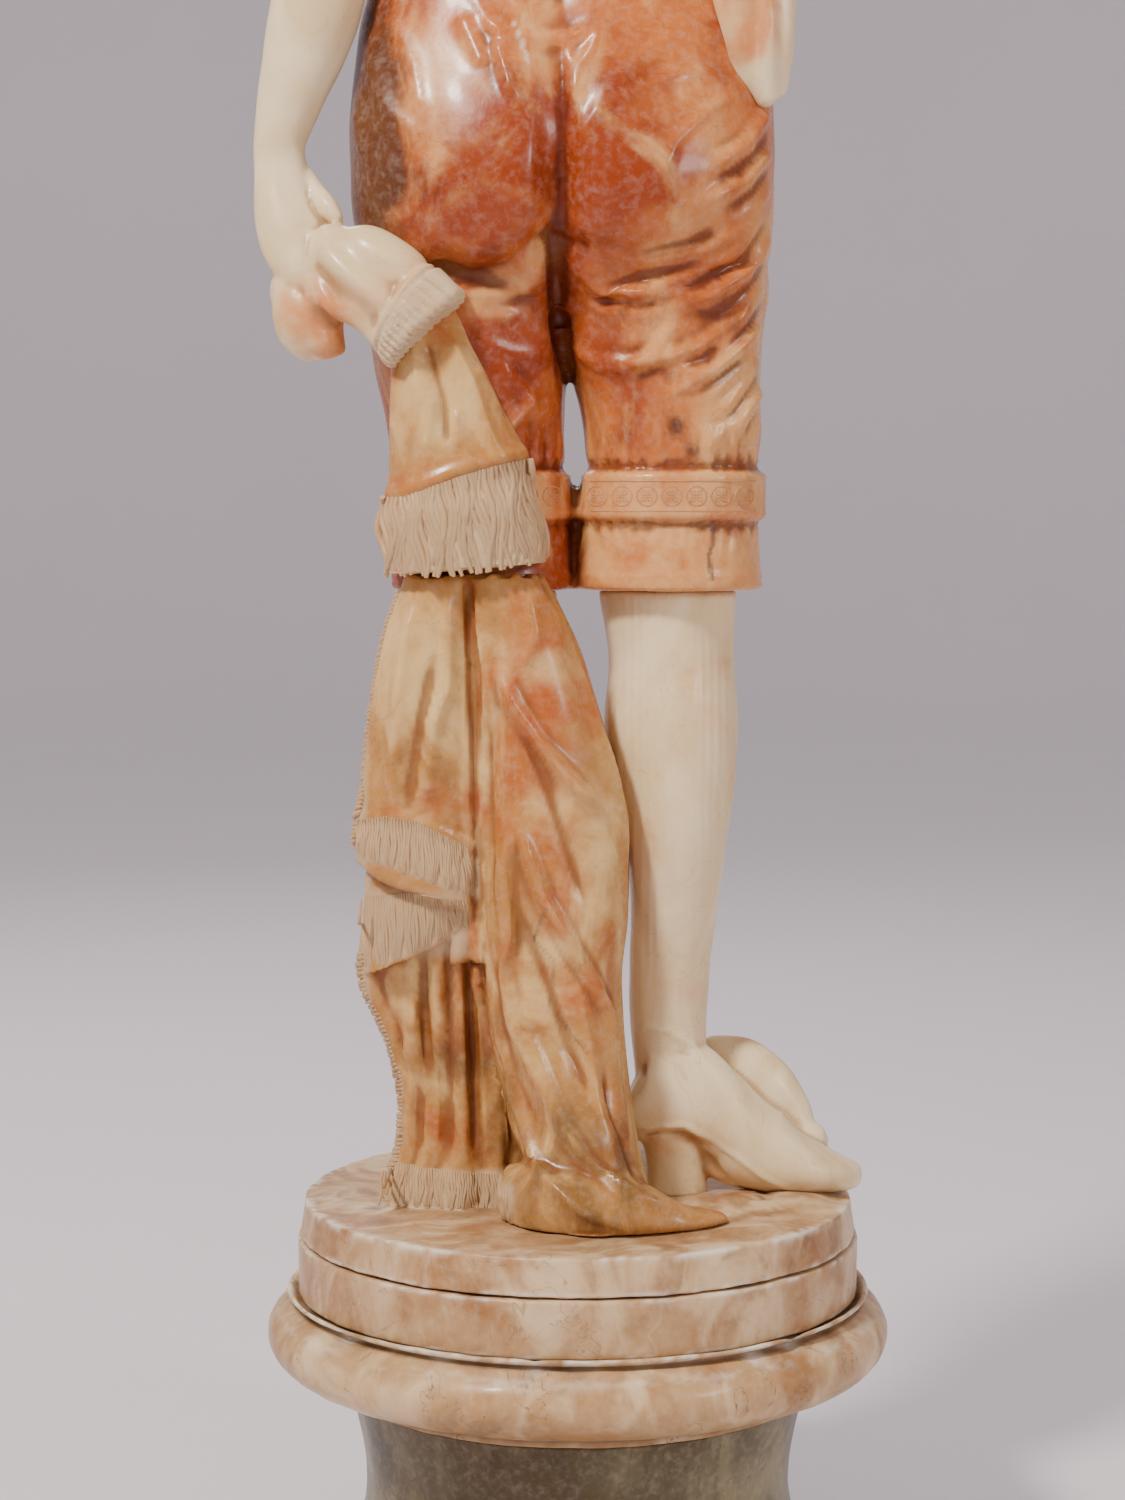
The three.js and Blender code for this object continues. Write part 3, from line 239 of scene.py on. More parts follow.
SWEEP_FOLDS = [
    ([(38, 166), (33, 132), (35, 107), (30, 83), (21, 58), (8, 30), (-9, 9), (-31, -5), (-52, -13), (-71, -17)],
     3.4, 5.5),
    ([(30, 184), (16, 143), (2, 118), (-14, 91), (-22, 64)], 3.2, 5.5),
    ([(46, 130), (45, 104), (37, 63), (27, 30), (16, 6), (-1, -10), (-25, -20)], 3.2, 4.5),
    ([(26, 95), (22, 76), (13, 50), (-1, 19), (-20, 2)], 3, 3),
    ([(24, 66), (10, 34), (-6, 12), (-22, -6)], 4, -2), ([(30, 140), (14, 100), (4, 70), (-8, 46)], 6, -3.6),
    ([(-20, 96), (-21, 83), (-24, 55), (-30, 24), (-42, 2), (-69, -12)], 3.2, 3.6),
    ([(-14, 62), (-16, 36), (-28, 8), (-46, -8)], 3.6, -3), ([(42, 118), (38, 84), (30, 56), (18, 28)], 3.2, -1.6),
    ([(0, 100), (-6, 70), (-10, 44), (-20, 18)], 3, 2.4),
]
PLEAT_FOLDS = [
    ([(79, 126), (79, 70), (81, 24)], 3, 3), ([(67, 128), (66, 70), (68, 24)], 2.8, 3.2),
    ([(57, 128), (55, 70), (54, 24)], 2.8, 3.4), ([(48, 130), (45, 70), (43, 24)], 2.6, 3),
    ([(39, 112), (36, 60), (34, 24)], 2.4, 2.6), ([(90, 96), (86, 70), (85, 24)], 3, 2),
    ([(73, 128), (73, 70), (75, 24)], 2.2, -2.4), ([(62, 128), (60, 70), (61, 24)], 2.2, -2.4),
    ([(52, 128), (50, 70), (49, 24)], 2.2, -2.4),
]
FALL_FOLDS = [
    ([(76, 410), (73, 382), (78, 357)], 4, 3), ([(61, 414), (50, 391), (41, 366), (35, 356)], 3.6, 3.2),
    ([(67, 386), (70, 358)], 3.4, 2.2), ([(56, 378), (56, 360)], 3, 1.8), ([(70, 412), (62, 382), (60, 360)], 4, -2.4),
    ([(48, 398), (36, 378)], 3, 1.5), ([(84, 398), (86, 366)], 3, 1.6),
]


def rows_along(table, count):
    """Smooth rows at even steps of the first column, by a curve through the given rows."""
    table = np.array(table, float)
    keys = np.linspace(table[0, 0], table[-1, 0], count + 1)
    sign = 1 if table[-1, 0] > table[0, 0] else -1
    now = np.clip(np.searchsorted(sign * table[:, 0], sign * keys, side="right") - 1, 0, len(table) - 2)
    before, to, after = np.maximum(now - 1, 0), now + 1, np.minimum(now + 2, len(table) - 1)
    span = (table[to, 0] - table[now, 0])[:, None]
    t = (keys - table[now, 0])[:, None] / span
    enter = (table[to] - table[before]) / (table[to, 0] - table[before, 0])[:, None] * span
    leave = (table[after] - table[now]) / (table[after, 0] - table[now, 0])[:, None] * span
    rows = (2 * t**3 - 3 * t**2 + 1) * table[now] + (t**3 - 2 * t**2 + t) * enter
    rows += (3 * t**2 - 2 * t**3) * table[to] + (t**3 - t**2) * leave
    rows[:, 0] = keys
    return rows


def ease(value, start, end):
    """0 before the start and 1 after the end, easing between."""
    t = np.clip((value - start) / (end - start), 0, 1)
    return t * t * (3 - 2 * t)


def hump(value, middle, width):
    """1 at the middle, fading over the width to both sides."""
    return np.exp(-(((value - middle) / width) ** 2))


def line_distance(across, up, line):
    """Distance in the picture plane from points to a bent line, and how far along it they are."""
    best = np.full(len(across), 1e9)
    along = np.zeros(len(across))
    done, lengths = 0.0, [math.dist(a, b) for a, b in zip(line, line[1:])]
    for (ax, az), (bx, bz), length in zip(line, line[1:], lengths):
        dx, dz = bx - ax, bz - az
        t = np.clip(((across - ax) * dx + (up - az) * dz) / length**2, 0, 1)
        away = np.hypot(across - ax - t * dx, up - az - t * dz)
        nearer = away < best
        best = np.where(nearer, away, best)
        along = np.where(nearer, done + t * length, along)
        done += length
    return best, along / done


# Where the photograph was taken from.
EYE = np.array([7.39, 1474.0, 339.0])


def folded(points, normals, folds, facing=BACK, strength=1.0, drawn=False):
    """Height of all the folds at each point of a surface that faces the given way.

    Folds given as they are seen by the eye, on the plane through the figure, are drawn ones.
    """
    turned = ease(normals @ np.array(facing, float), *((0.18, 0.6) if drawn else (0.05, 0.45)))
    lift = np.zeros(len(points))
    across, up = points[:, 0], points[:, 2]
    if drawn:
        scale = EYE[1] / (EYE[1] - points[:, 1])
        across, up = EYE[0] + (across - EYE[0]) * scale, EYE[2] + (up - EYE[2]) * scale
    for line, width, height in folds:
        away, along = line_distance(across, up, line)
        taper = ease(along, -0.02, 0.16) * (1 - ease(along, 0.84, 1.02))
        crest = 0.55 * np.exp(-((away / width) ** 2)) + 0.45 * np.exp(-away / (0.8 * width))
        lift += height * crest * (0.25 + 0.75 * taper)
    return lift * turned * strength


def skin(rings):
    """A closed skin through rings of points, with a fan over each end: points and faces."""
    count, sides = rings.shape[:2]
    points = np.concatenate([rings.reshape(-1, 3), rings[0].mean(0)[None], rings[-1].mean(0)[None]])
    faces = []
    for r in range(count - 1):
        for i in range(sides):
            j = (i + 1) % sides
            faces.append((r * sides + i, r * sides + j, (r + 1) * sides + j, (r + 1) * sides + i))
    last = (count - 1) * sides
    for i in range(sides):
        j = (i + 1) % sides
        faces.append((count * sides, j, i))
        faces.append((count * sides + 1, last + i, last + j))
    return points, faces


def oval_rings(rows, sides, relief=None, tilt=None):
    """Rings of level sections, each row giving level, x range, y range and squareness."""
    turn = np.linspace(0, 2 * math.pi, sides, endpoint=False)[None, :]
    level, x0, x1, y0, y1, power = (rows[:, k, None] for k in range(6))
    half_x, half_y = (x1 - x0) / 2, (y1 - y0) / 2
    x = (x0 + x1) / 2 + half_x * np.sign(np.cos(turn)) * np.abs(np.cos(turn)) ** (2 / power)
    y = (y0 + y1) / 2 + half_y * np.sign(np.sin(turn)) * np.abs(np.sin(turn)) ** (2 / power)
    z = level + np.zeros_like(x)
    turn = turn + np.zeros_like(x)
    if relief:
        nx, ny = np.cos(turn) / half_x, np.sin(turn) / half_y
        size = np.hypot(nx, ny)
        lift = relief(x, y, z, turn)
        x, y = x + lift * nx / size, y + lift * ny / size
    if tilt:
        z = z + tilt(x, z)
    return np.stack([x, y, z], -1)


def level_body(table, steps, sides, relief=None, tilt=None):
    return skin(oval_rings(rows_along(table, steps), sides, relief, tilt))


def limb(table, steps, sides, side):
    """A body along a bent line, wide along side and deep across it."""
    rows = rows_along([(k, *row) for k, row in enumerate(table)], steps)
    centre = rows[:, 1:4]
    along = np.gradient(centre, axis=0)
    along /= np.linalg.norm(along, axis=1, keepdims=True)
    broad = np.array(side, float) - along * (along @ np.array(side, float))[:, None]
    broad /= np.linalg.norm(broad, axis=1, keepdims=True)
    deep = np.cross(along, broad)
    turn = np.linspace(0, 2 * math.pi, sides, endpoint=False)[None, :, None]
    rings = centre[:, None] + broad[:, None] * rows[:, 4, None, None] * np.cos(turn)
    return skin(rings + deep[:, None] * rows[:, 5, None, None] * np.sin(turn))


def lathe(profile, sides):
    """A turned piece from radius and height, both ends on the axis."""
    turn = np.linspace(0, 2 * math.pi, sides, endpoint=False)
    radius, height = np.array(profile, float).T
    rings = np.stack([radius[:, None] * np.cos(turn), radius[:, None] * np.sin(turn),
                      height[:, None] + 0 * turn], -1)
    return skin(rings)


def mesh_of(name, bodies):
    """A mesh in metres from several bodies in millimetres above the ground."""
    points, faces, start = [], [], 0
    for body_points, body_faces in bodies:
        points.append(body_points)
        faces += [tuple(start + v for v in face) for face in body_faces]
        start += len(body_points)
    placed = (np.concatenate(points) + [0, 0, GROUND]) / 1000
    mesh = bpy.data.meshes.new(name)
    mesh.from_pydata(placed.tolist(), [], faces)
    mesh.update()
    return mesh


def evaluated(obj):
    """The object's mesh with its modifiers applied; the object itself is taken away."""
    view = bpy.context.view_layer
    view.update()
    mesh = bpy.data.meshes.new_from_object(obj.evaluated_get(bpy.context.evaluated_depsgraph_get()))
    bpy.data.objects.remove(obj)
    return mesh


def set_down(name, mesh, finish, slot, *nodes):
    """The mesh becomes a piece of the object, in place of the named solids."""
    piece = bpy.data.objects.new(name, mesh)
    bpy.context.scene.collection.objects.link(piece)
    mesh.materials.clear()
    mesh.materials.append(finish)
    mesh.polygons.foreach_set("use_smooth", [True] * len(mesh.polygons))
    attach(piece, "root")
    if nodes:
        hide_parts(*nodes)
    return piece


class Block:
    """One block of stone, fused from its bodies and then carved point by point."""

    def __init__(self, name, bodies, grain, rounds=3):
        rough = bpy.data.objects.new(name, mesh_of(name, bodies))
        bpy.context.scene.collection.objects.link(rough)
        if grain:
            remesh = rough.modifiers.new("fuse", "REMESH")
            remesh.mode = "VOXEL"
            remesh.voxel_size = grain * 1 / 1000
        self.mesh = evaluated(rough)
        self.mesh.name = name
        flat = np.empty(len(self.mesh.vertices) * 3)
        self.mesh.vertices.foreach_get("co", flat)
        self.points = flat.reshape(-1, 3) * 1000 - [0, 0, GROUND]
        pairs = np.empty(len(self.mesh.edges) * 2, int)
        self.mesh.edges.foreach_get("vertices", pairs)
        self.edges = pairs.reshape(-1, 2)
        self.degree = np.bincount(self.edges.ravel(), minlength=len(self.points)).clip(1)[:, None]
        self.soften(rounds)

    def around(self, values):
        """The mean of the neighbours' values at each point."""
        total = np.zeros_like(values)
        for column in range(values.shape[1]):
            for one, other in ((0, 1), (1, 0)):
                total[:, column] += np.bincount(self.edges[:, one], values[self.edges[:, other], column],
                                                minlength=len(values))
        return total / self.degree

    def soften(self, rounds, where=1.0):
        """Evens out the surface without shrinking it."""
        where = np.broadcast_to(np.asarray(where, float), len(self.points))[:, None]
        for _ in range(rounds):
            self.points = self.points + 0.5 * where * (self.around(self.points) - self.points)
            self.points = self.points - 0.52 * where * (self.around(self.points) - self.points)

    def normals(self):
        self.mesh.vertices.foreach_set("co", ((self.points + [0, 0, GROUND]) / 1000).ravel())
        self.mesh.update()
        flat = np.empty(len(self.points) * 3)
        self.mesh.vertex_normals.foreach_get("vector", flat)
        return flat.reshape(-1, 3)

    def carve(self, field):
        """Moves each point out along its normal by what the field gives there."""
        normals = self.normals()
        self.points = self.points + normals * field(self.points, normals)[:, None]

    def stain(self, name, values):
        """Keeps a value from 0 to 1 at each point for the finish to read."""
        layer = self.mesh.attributes.new(name, "FLOAT", "POINT")
        layer.data.foreach_set("value", np.clip(values, 0, 1).astype(np.float32))

    def surface(self):
        self.normals()
        self.mesh.calc_loop_triangles()
        tris = np.empty(len(self.mesh.loop_triangles) * 3, int)
        self.mesh.loop_triangles.foreach_get("vertices", tris)
        return BVHTree.FromPolygons(self.points.tolist(), tris.reshape(-1, 3).tolist())

    def set_down(self, name, finish, slot, *nodes):
        self.normals()
        return set_down(name, self.mesh, finish, slot, *nodes)


def ripple(points, size, seed):
    """A smooth random value from -1 to 1 that changes over about the given size."""
    rng = np.random.default_rng(seed)
    total = np.zeros(len(points))
    for _ in range(9):
        way = rng.normal(size=3)
        way /= np.linalg.norm(way)
        total += np.sin(points @ way * (2 * math.pi / size) * rng.uniform(0.6, 1.5) + rng.uniform(0, 6.3))
    return total / 4.5


class Shade:
    """A socket of a finish; sums and products of these add the nodes that work them out."""

    def __init__(self, finish, socket):
        self.finish, self.socket = finish, socket

    def maths(self, operation, one, other=0.0):
        return self.finish.node("ShaderNodeMath", {"operation": operation}, {0: one, 1: other})

    def __add__(self, other):
        return self.maths("ADD", self, other)

    def __sub__(self, other):
        return self.maths("SUBTRACT", self, other)

    def __rsub__(self, other):
        return self.maths("SUBTRACT", other, self)

    def __mul__(self, other):
        return self.maths("MULTIPLY", self, other)

    __radd__, __rmul__ = __add__, __mul__

    def __abs__(self):
        return self.maths("ABSOLUTE", self)

    def ramp(self, low, high):
        """0 below low and 1 above high, easing between; the other way round if low is above high."""
        return self.finish.node("ShaderNodeMapRange", {"interpolation_type": "SMOOTHSTEP"},
                                {0: self, 1: low, 2: high})


class Finish:
    """A material made of nodes that read places on the object."""

    def __init__(self, name):
        self.material = bpy.data.materials.new(name)
        self.material.use_nodes = True
        self.tree = self.material.node_tree
        self.tree.nodes.clear()
        self.place = self.node("ShaderNodeTexCoord", {}, {}, "Object")

    def node(self, kind, settings, values, out=0):
        made = self.tree.nodes.new(kind)
        for key, value in settings.items():
            setattr(made, key, value)
        for socket, value in values.items():
            if isinstance(value, Shade):
                self.tree.links.new(value.socket, made.inputs[socket])
            else:
                made.inputs[socket].default_value = value
        return Shade(self, made.outputs[out])

    def noise(self, size, detail=4.0, rough=0.55, warp=0.0, shift=(0, 0, 0), stretch=(1, 1, 1)):
        """Cloudy values about 0.5, with lumps of about the given size in metres."""
        place = self.node("ShaderNodeMapping", {}, {"Vector": self.place, "Location": shift, "Scale": stretch})
        return self.node("ShaderNodeTexNoise", {}, {"Vector": place, "Scale": 1 / size, "Detail": detail,
                                                   "Roughness": rough, "Distortion": warp})

    def kept(self, name):
        return self.node("ShaderNodeAttribute", {"attribute_name": name}, {}, "Fac")

    def mixed(self, share, one, other):
        return self.node("ShaderNodeMix", {"data_type": "RGBA"}, {0: share, 6: one, 7: other}, 2)

    def bump(self, height, depth, strength=1.0, under=None):
        values = {"Height": height, "Distance": depth, "Strength": strength}
        if under:
            values["Normal"] = under
        return self.node("ShaderNodeBump", {}, values, "Normal")

    def done(self, sockets, constants):
        stone = self.tree.nodes.new("ShaderNodeBsdfPrincipled")
        for name, value in constants.items():
            stone.inputs[name].default_value = value
        for name, value in sockets.items():
            self.tree.links.new(value.socket, stone.inputs[name])
        out = self.tree.nodes.new("ShaderNodeOutputMaterial")
        self.tree.links.new(stone.outputs[0], out.inputs["Surface"])
        return self.material


def colour(red, green, blue):
    """A colour read off a chart, as light."""
    return tuple(((c / 255 + 0.055) / 1.055) ** 2.4 for c in (red, green, blue)) + (1.0,)


WHITE_CRYSTAL = colour(238, 230, 214)
DIRT = colour(96, 80, 66)
TOOLED_STONE = colour(196, 172, 138)


def alabaster(name, colours, polish, cloud, glow=0.15, veins=0.5):
    """Polished alabaster. The piece keeps where it is warm, pale, dark, hollow, tooled and cracked.

    The colours are the stone's own, its warm, pale and dark clouds, and the painted shade of its creases and hollows.
    """
    stone, warm, pale, dark, crease_shade = (colour(*chart) for chart in colours)
    f = Finish(name)
    drift = f.noise(cloud, 3, 0.5, 0.6)
    mottle = f.noise(cloud * 0.42, 4, 0.52, 0.9, (3.1, 1.7, 0.4))
    wisps = f.noise(cloud * 0.6, 4, 0.55, 1.6, (7.3, 2.2, 5.1), (1, 1, 0.5))
    grain = f.noise(0.004, 4, 0.6, 0.3, (1.2, 4.4, 2.7))
    soft = (mottle - 0.5) * 1.2
    base = f.mixed((f.kept("warm") + (drift - 0.5) * 2.2 + soft).ramp(0.2, 0.9), stone, warm)
    base = f.mixed((f.kept("pale") + (wisps - 0.5) * 2.2 + (0.5 - drift) * 1.2).ramp(0.2, 0.9) * 0.9, base, pale)
    base = f.mixed((f.kept("dark") + (0.5 - wisps) * 1.6 + soft * 0.5).ramp(0.25, 0.85) * 0.85, base, dark)
    thread = abs(f.noise(cloud * 1.5, 3, 0.5, 0.9, (5.5, 0.9, 8.2)) - 0.5)
    near = f.noise(cloud * 1.9, 2, 0.5, 0.0, (9.1, 3.3, 1.1)).ramp(0.5, 0.62)
    base = f.mixed(thread.ramp(0.02, 0.0) * near * veins * 0.22, base, pale)
    thread = abs(f.noise(cloud * 0.9, 4, 0.6, 1.4, (2.5, 6.9, 3.2)) - 0.5)
    base = f.mixed(thread.ramp(0.006, 0.0) * near.ramp(0.4, 0.1) * veins * 0.4, base, dark)
    base = f.mixed(grain.ramp(0.4, 0.8) * 0.1, base, WHITE_CRYSTAL)
    # Painted shade: the hollows and creases darken towards the crease colour.
    base = f.mixed(f.kept("hollow") * (mottle * 0.5 + 0.45), base, crease_shade)
    base = f.mixed(f.kept("tooled") * 0.62, base, TOOLED_STONE)
    base = f.mixed(f.kept("crack"), base, DIRT)
    base = f.mixed(f.kept("worn") * (grain * 0.7 + 0.45), base, WHITE_CRYSTAL)
    rough = mottle * 0.14 + grain * 0.08 + (polish - 0.1) + f.kept("worn") * 0.3 + f.kept("tooled") * 0.22
    tooth = f.noise(0.0014, 3, 0.6, 0.0, (0.3, 0.8, 0.1))
    shaped = f.bump(mottle * 0.6 + grain * 0.1 + tooth * (f.kept("tooled") * 0.22 + 0.03), 0.0015, 0.35)
    shaped = f.bump(f.kept("crack"), -0.0006, 1.0, shaped)
    return f.done({"Base Color": base, "Roughness": rough, "Normal": shaped},
                  {"Subsurface Weight": glow, "Subsurface Radius": (1.0, 0.55, 0.3), "Subsurface Scale": 0.006,
                   "IOR": 1.53, "Specular IOR Level": 0.2, "Coat Weight": 0.06, "Coat Roughness": 0.08})


GARMENT_STONE = alabaster("garment alabaster", [(190, 106, 48), (142, 56, 18), (216, 160, 98), (64, 40, 26),
                                                (84, 26, 10)], 0.27, 0.075)
SHAWL_STONE = alabaster("shawl alabaster", [(180, 126, 64), (174, 82, 28), (220, 184, 120), (96, 70, 36),
                                            (122, 64, 26)], 0.27, 0.08)
FLESH_STONE = alabaster("flesh alabaster", [(220, 193, 146), (208, 134, 78), (236, 216, 176), (150, 120, 80),
                                            (166, 120, 76)], 0.3, 0.09)
PLINTH_STONE = alabaster("plinth alabaster", [(180, 142, 98), (160, 110, 66), (212, 184, 144), (126, 90, 58),
                                              (92, 62, 38)], 0.36, 0.055, 0.12, 1.2)
CAP_STONE = alabaster("cap alabaster", [(184, 146, 100), (162, 114, 68), (216, 188, 146), (122, 96, 64),
                                        (84, 60, 36)], 0.32, 0.06, 0.12, 2.2)
SHAFT_STONE = alabaster("shaft alabaster", [(92, 82, 56), (86, 68, 42), (134, 122, 90), (50, 42, 30),
                                            (60, 46, 30)], 0.3, 0.1, 0.06, 0.9)
# Finish and slot of the pieces that share a stone.
SHAWL, FLESH = (SHAWL_STONE, "shawl_alabaster"), (FLESH_STONE, "flesh_alabaster")


def strands_tree():
    """Round strands that follow the edges of a mesh, as thick as the points say."""
    tree = bpy.data.node_groups.new("strands along lines", "GeometryNodeTree")
    for label, kind in (("Lines", "Geometry"), ("Sides", "Int"), ("Finish", "Material")):
        tree.interface.new_socket(label, in_out="INPUT", socket_type="NodeSocket" + kind)
    tree.interface.new_socket("Strands", in_out="OUTPUT", socket_type="NodeSocketGeometry")

    def node(kind, **settings):
        made = tree.nodes.new(kind)
        for key, value in settings.items():
            setattr(made, key, value)
        return made

    given, out = node("NodeGroupInput"), node("NodeGroupOutput")
    curves, circle = node("GeometryNodeMeshToCurve"), node("GeometryNodeCurvePrimitiveCircle", mode="RADIUS")
    thick = node("GeometryNodeInputNamedAttribute", data_type="FLOAT")
    tube, real = node("GeometryNodeCurveToMesh"), node("GeometryNodeRealizeInstances")
    painted = node("GeometryNodeSetMaterial")
    thick.inputs["Name"].default_value = "thick"
    circle.inputs["Radius"].default_value = 1.0
    tube.inputs["Fill Caps"].default_value = True
    for one, other in (
        (given.outputs["Lines"], curves.inputs["Mesh"]), (curves.outputs["Curve"], tube.inputs["Curve"]),
        (thick.outputs["Attribute"], tube.inputs["Scale"]), (given.outputs["Sides"], circle.inputs["Resolution"]),
        (circle.outputs["Curve"], tube.inputs["Profile Curve"]),
        (tube.outputs["Mesh"], real.inputs["Geometry"]), (real.outputs["Geometry"], painted.inputs["Geometry"]),
        (given.outputs["Finish"], painted.inputs["Material"]), (painted.outputs["Geometry"], out.inputs["Strands"]),
    ):
        tree.links.new(one, other)
    return tree


STRANDS = strands_tree()


def strands(name, lines, finish, slot, sides=6, tooled=0.9):
    """Strands along lines; each line is points in millimetres and their radii."""
    points, edges, thick = [], [], []
    for line, radii in lines:
        edges += [(len(points) + i, len(points) + i + 1) for i in range(len(line) - 1)]
        points += [tuple(point) for point in line]
        thick += list(np.broadcast_to(np.asarray(radii, float), len(line)) / 1000)
    mesh = bpy.data.meshes.new(name)
    mesh.from_pydata(((np.array(points) + [0, 0, GROUND]) / 1000).tolist(), edges, [])
    layer = mesh.attributes.new("thick", "FLOAT", "POINT")
    layer.data.foreach_set("value", thick)
    rough = bpy.data.objects.new(name, mesh)
    bpy.context.scene.collection.objects.link(rough)
    modifier = rough.modifiers.new("strands", "NODES")
    modifier.node_group = STRANDS
    for label, value in (("Sides", sides), ("Finish", finish)):
        modifier[STRANDS.interface.items_tree[label].identifier] = value
    made = evaluated(rough)
    made.name = name
    layer = made.attributes.new("tooled", "FLOAT", "POINT")
    layer.data.foreach_set("value", np.full(len(made.vertices), tooled, np.float32))
    return set_down(name, made, finish, slot)


def along(line, count):
    """Points at even steps along a bent line across and up."""
    line = np.array(line, float)
    reach = np.concatenate([[0], np.cumsum(np.linalg.norm(np.diff(line, axis=0), axis=1))])
    steps = np.linspace(0, reach[-1], count)
    return np.stack([np.interp(steps, reach, line[:, k]) for k in range(line.shape[1])], 1)


def laid(surface, line, lift):
    """A line across and up, laid on the back of a piece."""
    points, fallback = [], 50
    for x, z in line:
        spot, _, _, _ = surface.ray_cast(Vector((x, 300, z)), Vector((0, -1, 0)))
        y = spot[1] if spot is not None and spot[1] > -5 else fallback
        fallback = y
        points.append((x, y + lift, z))
    return points


def fringe(name, surface, top, foot, count, radius, wave, seed, lift, tuft):
    """A carved fringe: strands from the top line to the foot line that draw together into tufts."""
    rng = np.random.default_rng(seed)
    tops, feet = along(top, count), along(foot, count)
    wide = abs(feet[-1, 0] - feet[0, 0]) / (count - 1)
    bunch = max(3, round(tuft / max(wide, 0.1)))
    lines = []
    for k in range(count):
        t = np.linspace(0, 1, 10)
        middle = feet[min(count - 1, (k // bunch) * bunch + bunch // 2)]
        pull = 0.35 * (middle[0] - feet[k, 0])
        drop = -0.9 * wave * (1 - (2 * (k % bunch) / bunch - 1) ** 2) * 1.6 + rng.normal(0, 0.3)
        down = tops[k] + (feet[k] + (0, drop) - tops[k]) * t[:, None]
        down[:, 0] += pull * ease(t, 0.3, 1) + wave * ease(t, 0, 0.2) * np.sin(t * 6.5 + 0.5 * k + rng.normal(0, 0.5))
        path = laid(surface, down, lift - radius * 0.3)
        thick = np.array([0.7, 0.9, 1, 1.05, 1, 1.05, 1, 0.95, 0.85, 0.5])
        lines.append((path, radius * rng.uniform(0.85, 1.2) * thick))
    return strands(name, lines, *SHAWL)


def edge_fringe(name, surface, levels, depths, radius, seed):
    """Short tufts round the upright left edge of a piece, seen in its outline."""
    rng = np.random.default_rng(seed)
    lines = []

    def edge(y, z):
        """How far out the piece reaches at a depth and a height."""
        spot, _, _, _ = surface.ray_cast(Vector((300, y, z)), Vector((-1, 0, 0)))
        return spot[0] if spot is not None else -999

    for z in levels:
        outer = max(depths, key=lambda y: edge(y, z))
        drop, line = rng.uniform(2, 4), []
        for t in np.linspace(0, 1, 5):
            y, height = outer + 9 - 12 * t, z - drop * t
            line.append((edge(y, height) + 0.24 + 0.6 * t, y, height))
        if max(x for x, _, _ in line) - min(x for x, _, _ in line) < 9:
            lines.append((line, radius * rng.uniform(0.8, 1.3) * np.array([0.6, 1, 1.15, 1, 0.5])))
    return strands(name, lines, *SHAWL)


def ribbed(p, inside, pitch, depth, tuft, seed):
    """Grooves of a fringe in its ground: fine ribs that draw together into broader tufts."""
    u = p[:, 0] + 0.7 * pitch * ripple(p, 16, seed)
    fine = np.abs(np.sin(math.pi * u / pitch)) ** 0.7 - 0.6
    broad = np.abs(np.sin(math.pi * (u + 2 * ripple(p, 50, seed + 1)) / tuft)) ** 0.6 - 0.65
    return inside * depth * (fine + 1.2 * broad)


def kept_marks(block, warm=0, pale=0, dark=0, crack=0, worn=0, tooled=0, deep=0.07):
    """What the finish reads at each point: colour patches, hollows for painted shade, cracks and worn edges."""
    normals = block.normals()
    bend = ((block.around(block.points) - block.points) * normals).sum(1)
    for _ in range(4):
        bend = block.around(bend[:, None])[:, 0]
    # Painted shade: where the surface bends inwards it is kept as hollow, and the finish darkens it there.
    block.stain("hollow", ease(bend, 0.012, deep))
    marks = {"warm": warm, "pale": pale, "dark": dark, "crack": crack, "worn": worn, "tooled": tooled}
    for name, values in marks.items():
        block.stain(name, values + np.zeros(len(block.points)))


def patch(points, x, z, wide, tall):
    """1 at a spot on the back, fading over an oval."""
    far = ((points[:, 0] - x) / wide) ** 2 + ((points[:, 2] - z) / tall) ** 2
    return np.exp(-far) * ease(points[:, 1], -10, 15)


def patches(points, *spots):
    """Spots on the back added up, each as share, x, z, width and height."""
    return sum(share * patch(points, *oval) for share, *oval in spots)


# The garment: bodice, waist and seat in one block with the two breeches legs.

def torso_relief(x, y, z, turn):
    """The cleft, the seat and the hollow of the back; on the front the chest and the belly."""
    back, front = ease(y, 20, 50), ease(-y, 20, 42)
    beside = np.abs(x - CLEFT_X)
    lift = back * (-15 * hump(x, CLEFT_X, 9) * hump(z, 478, 34) - 5 * hump(x, CLEFT_X, 12) * hump(z, 535, 34)
                   + 3 * hump(beside, 44, 26) * hump(z, 480, 28) - 2.5 * hump(x, CLEFT_X, 14) * ease(z, 600, 640)
                   - 13 * hump(x, CLEFT_X, 13) * hump(z, 438, 15))
    apart = np.abs(x - CHEST_X)
    return lift + front * (11 * hump(apart, 33, 22) * hump(z, 700, 20) - 5 * hump(x, CHEST_X, 9) * hump(z, 704, 24)
                           + 4 * hump(x, CHEST_X, 42) * hump(z, 545, 36))


def breech_relief(x, y, z, turn):
    """Shallow folds drawn in round the legs above the bands."""
    return 0.9 * ease(z, BAND_TOP, 372) * (1 - ease(z, 430, 455)) * np.sin(7 * turn + z / 26)


garment = Block("garment_block", [
    level_body(TORSO, 90, 120, torso_relief),
    level_body(RIGHT_BREECH, 88, 90, breech_relief),
    level_body(LEFT_BREECH, 88, 90, breech_relief),
], 1.9, 3)
garment.carve(lambda p, n: folded(p, n, BREECH_FOLDS))


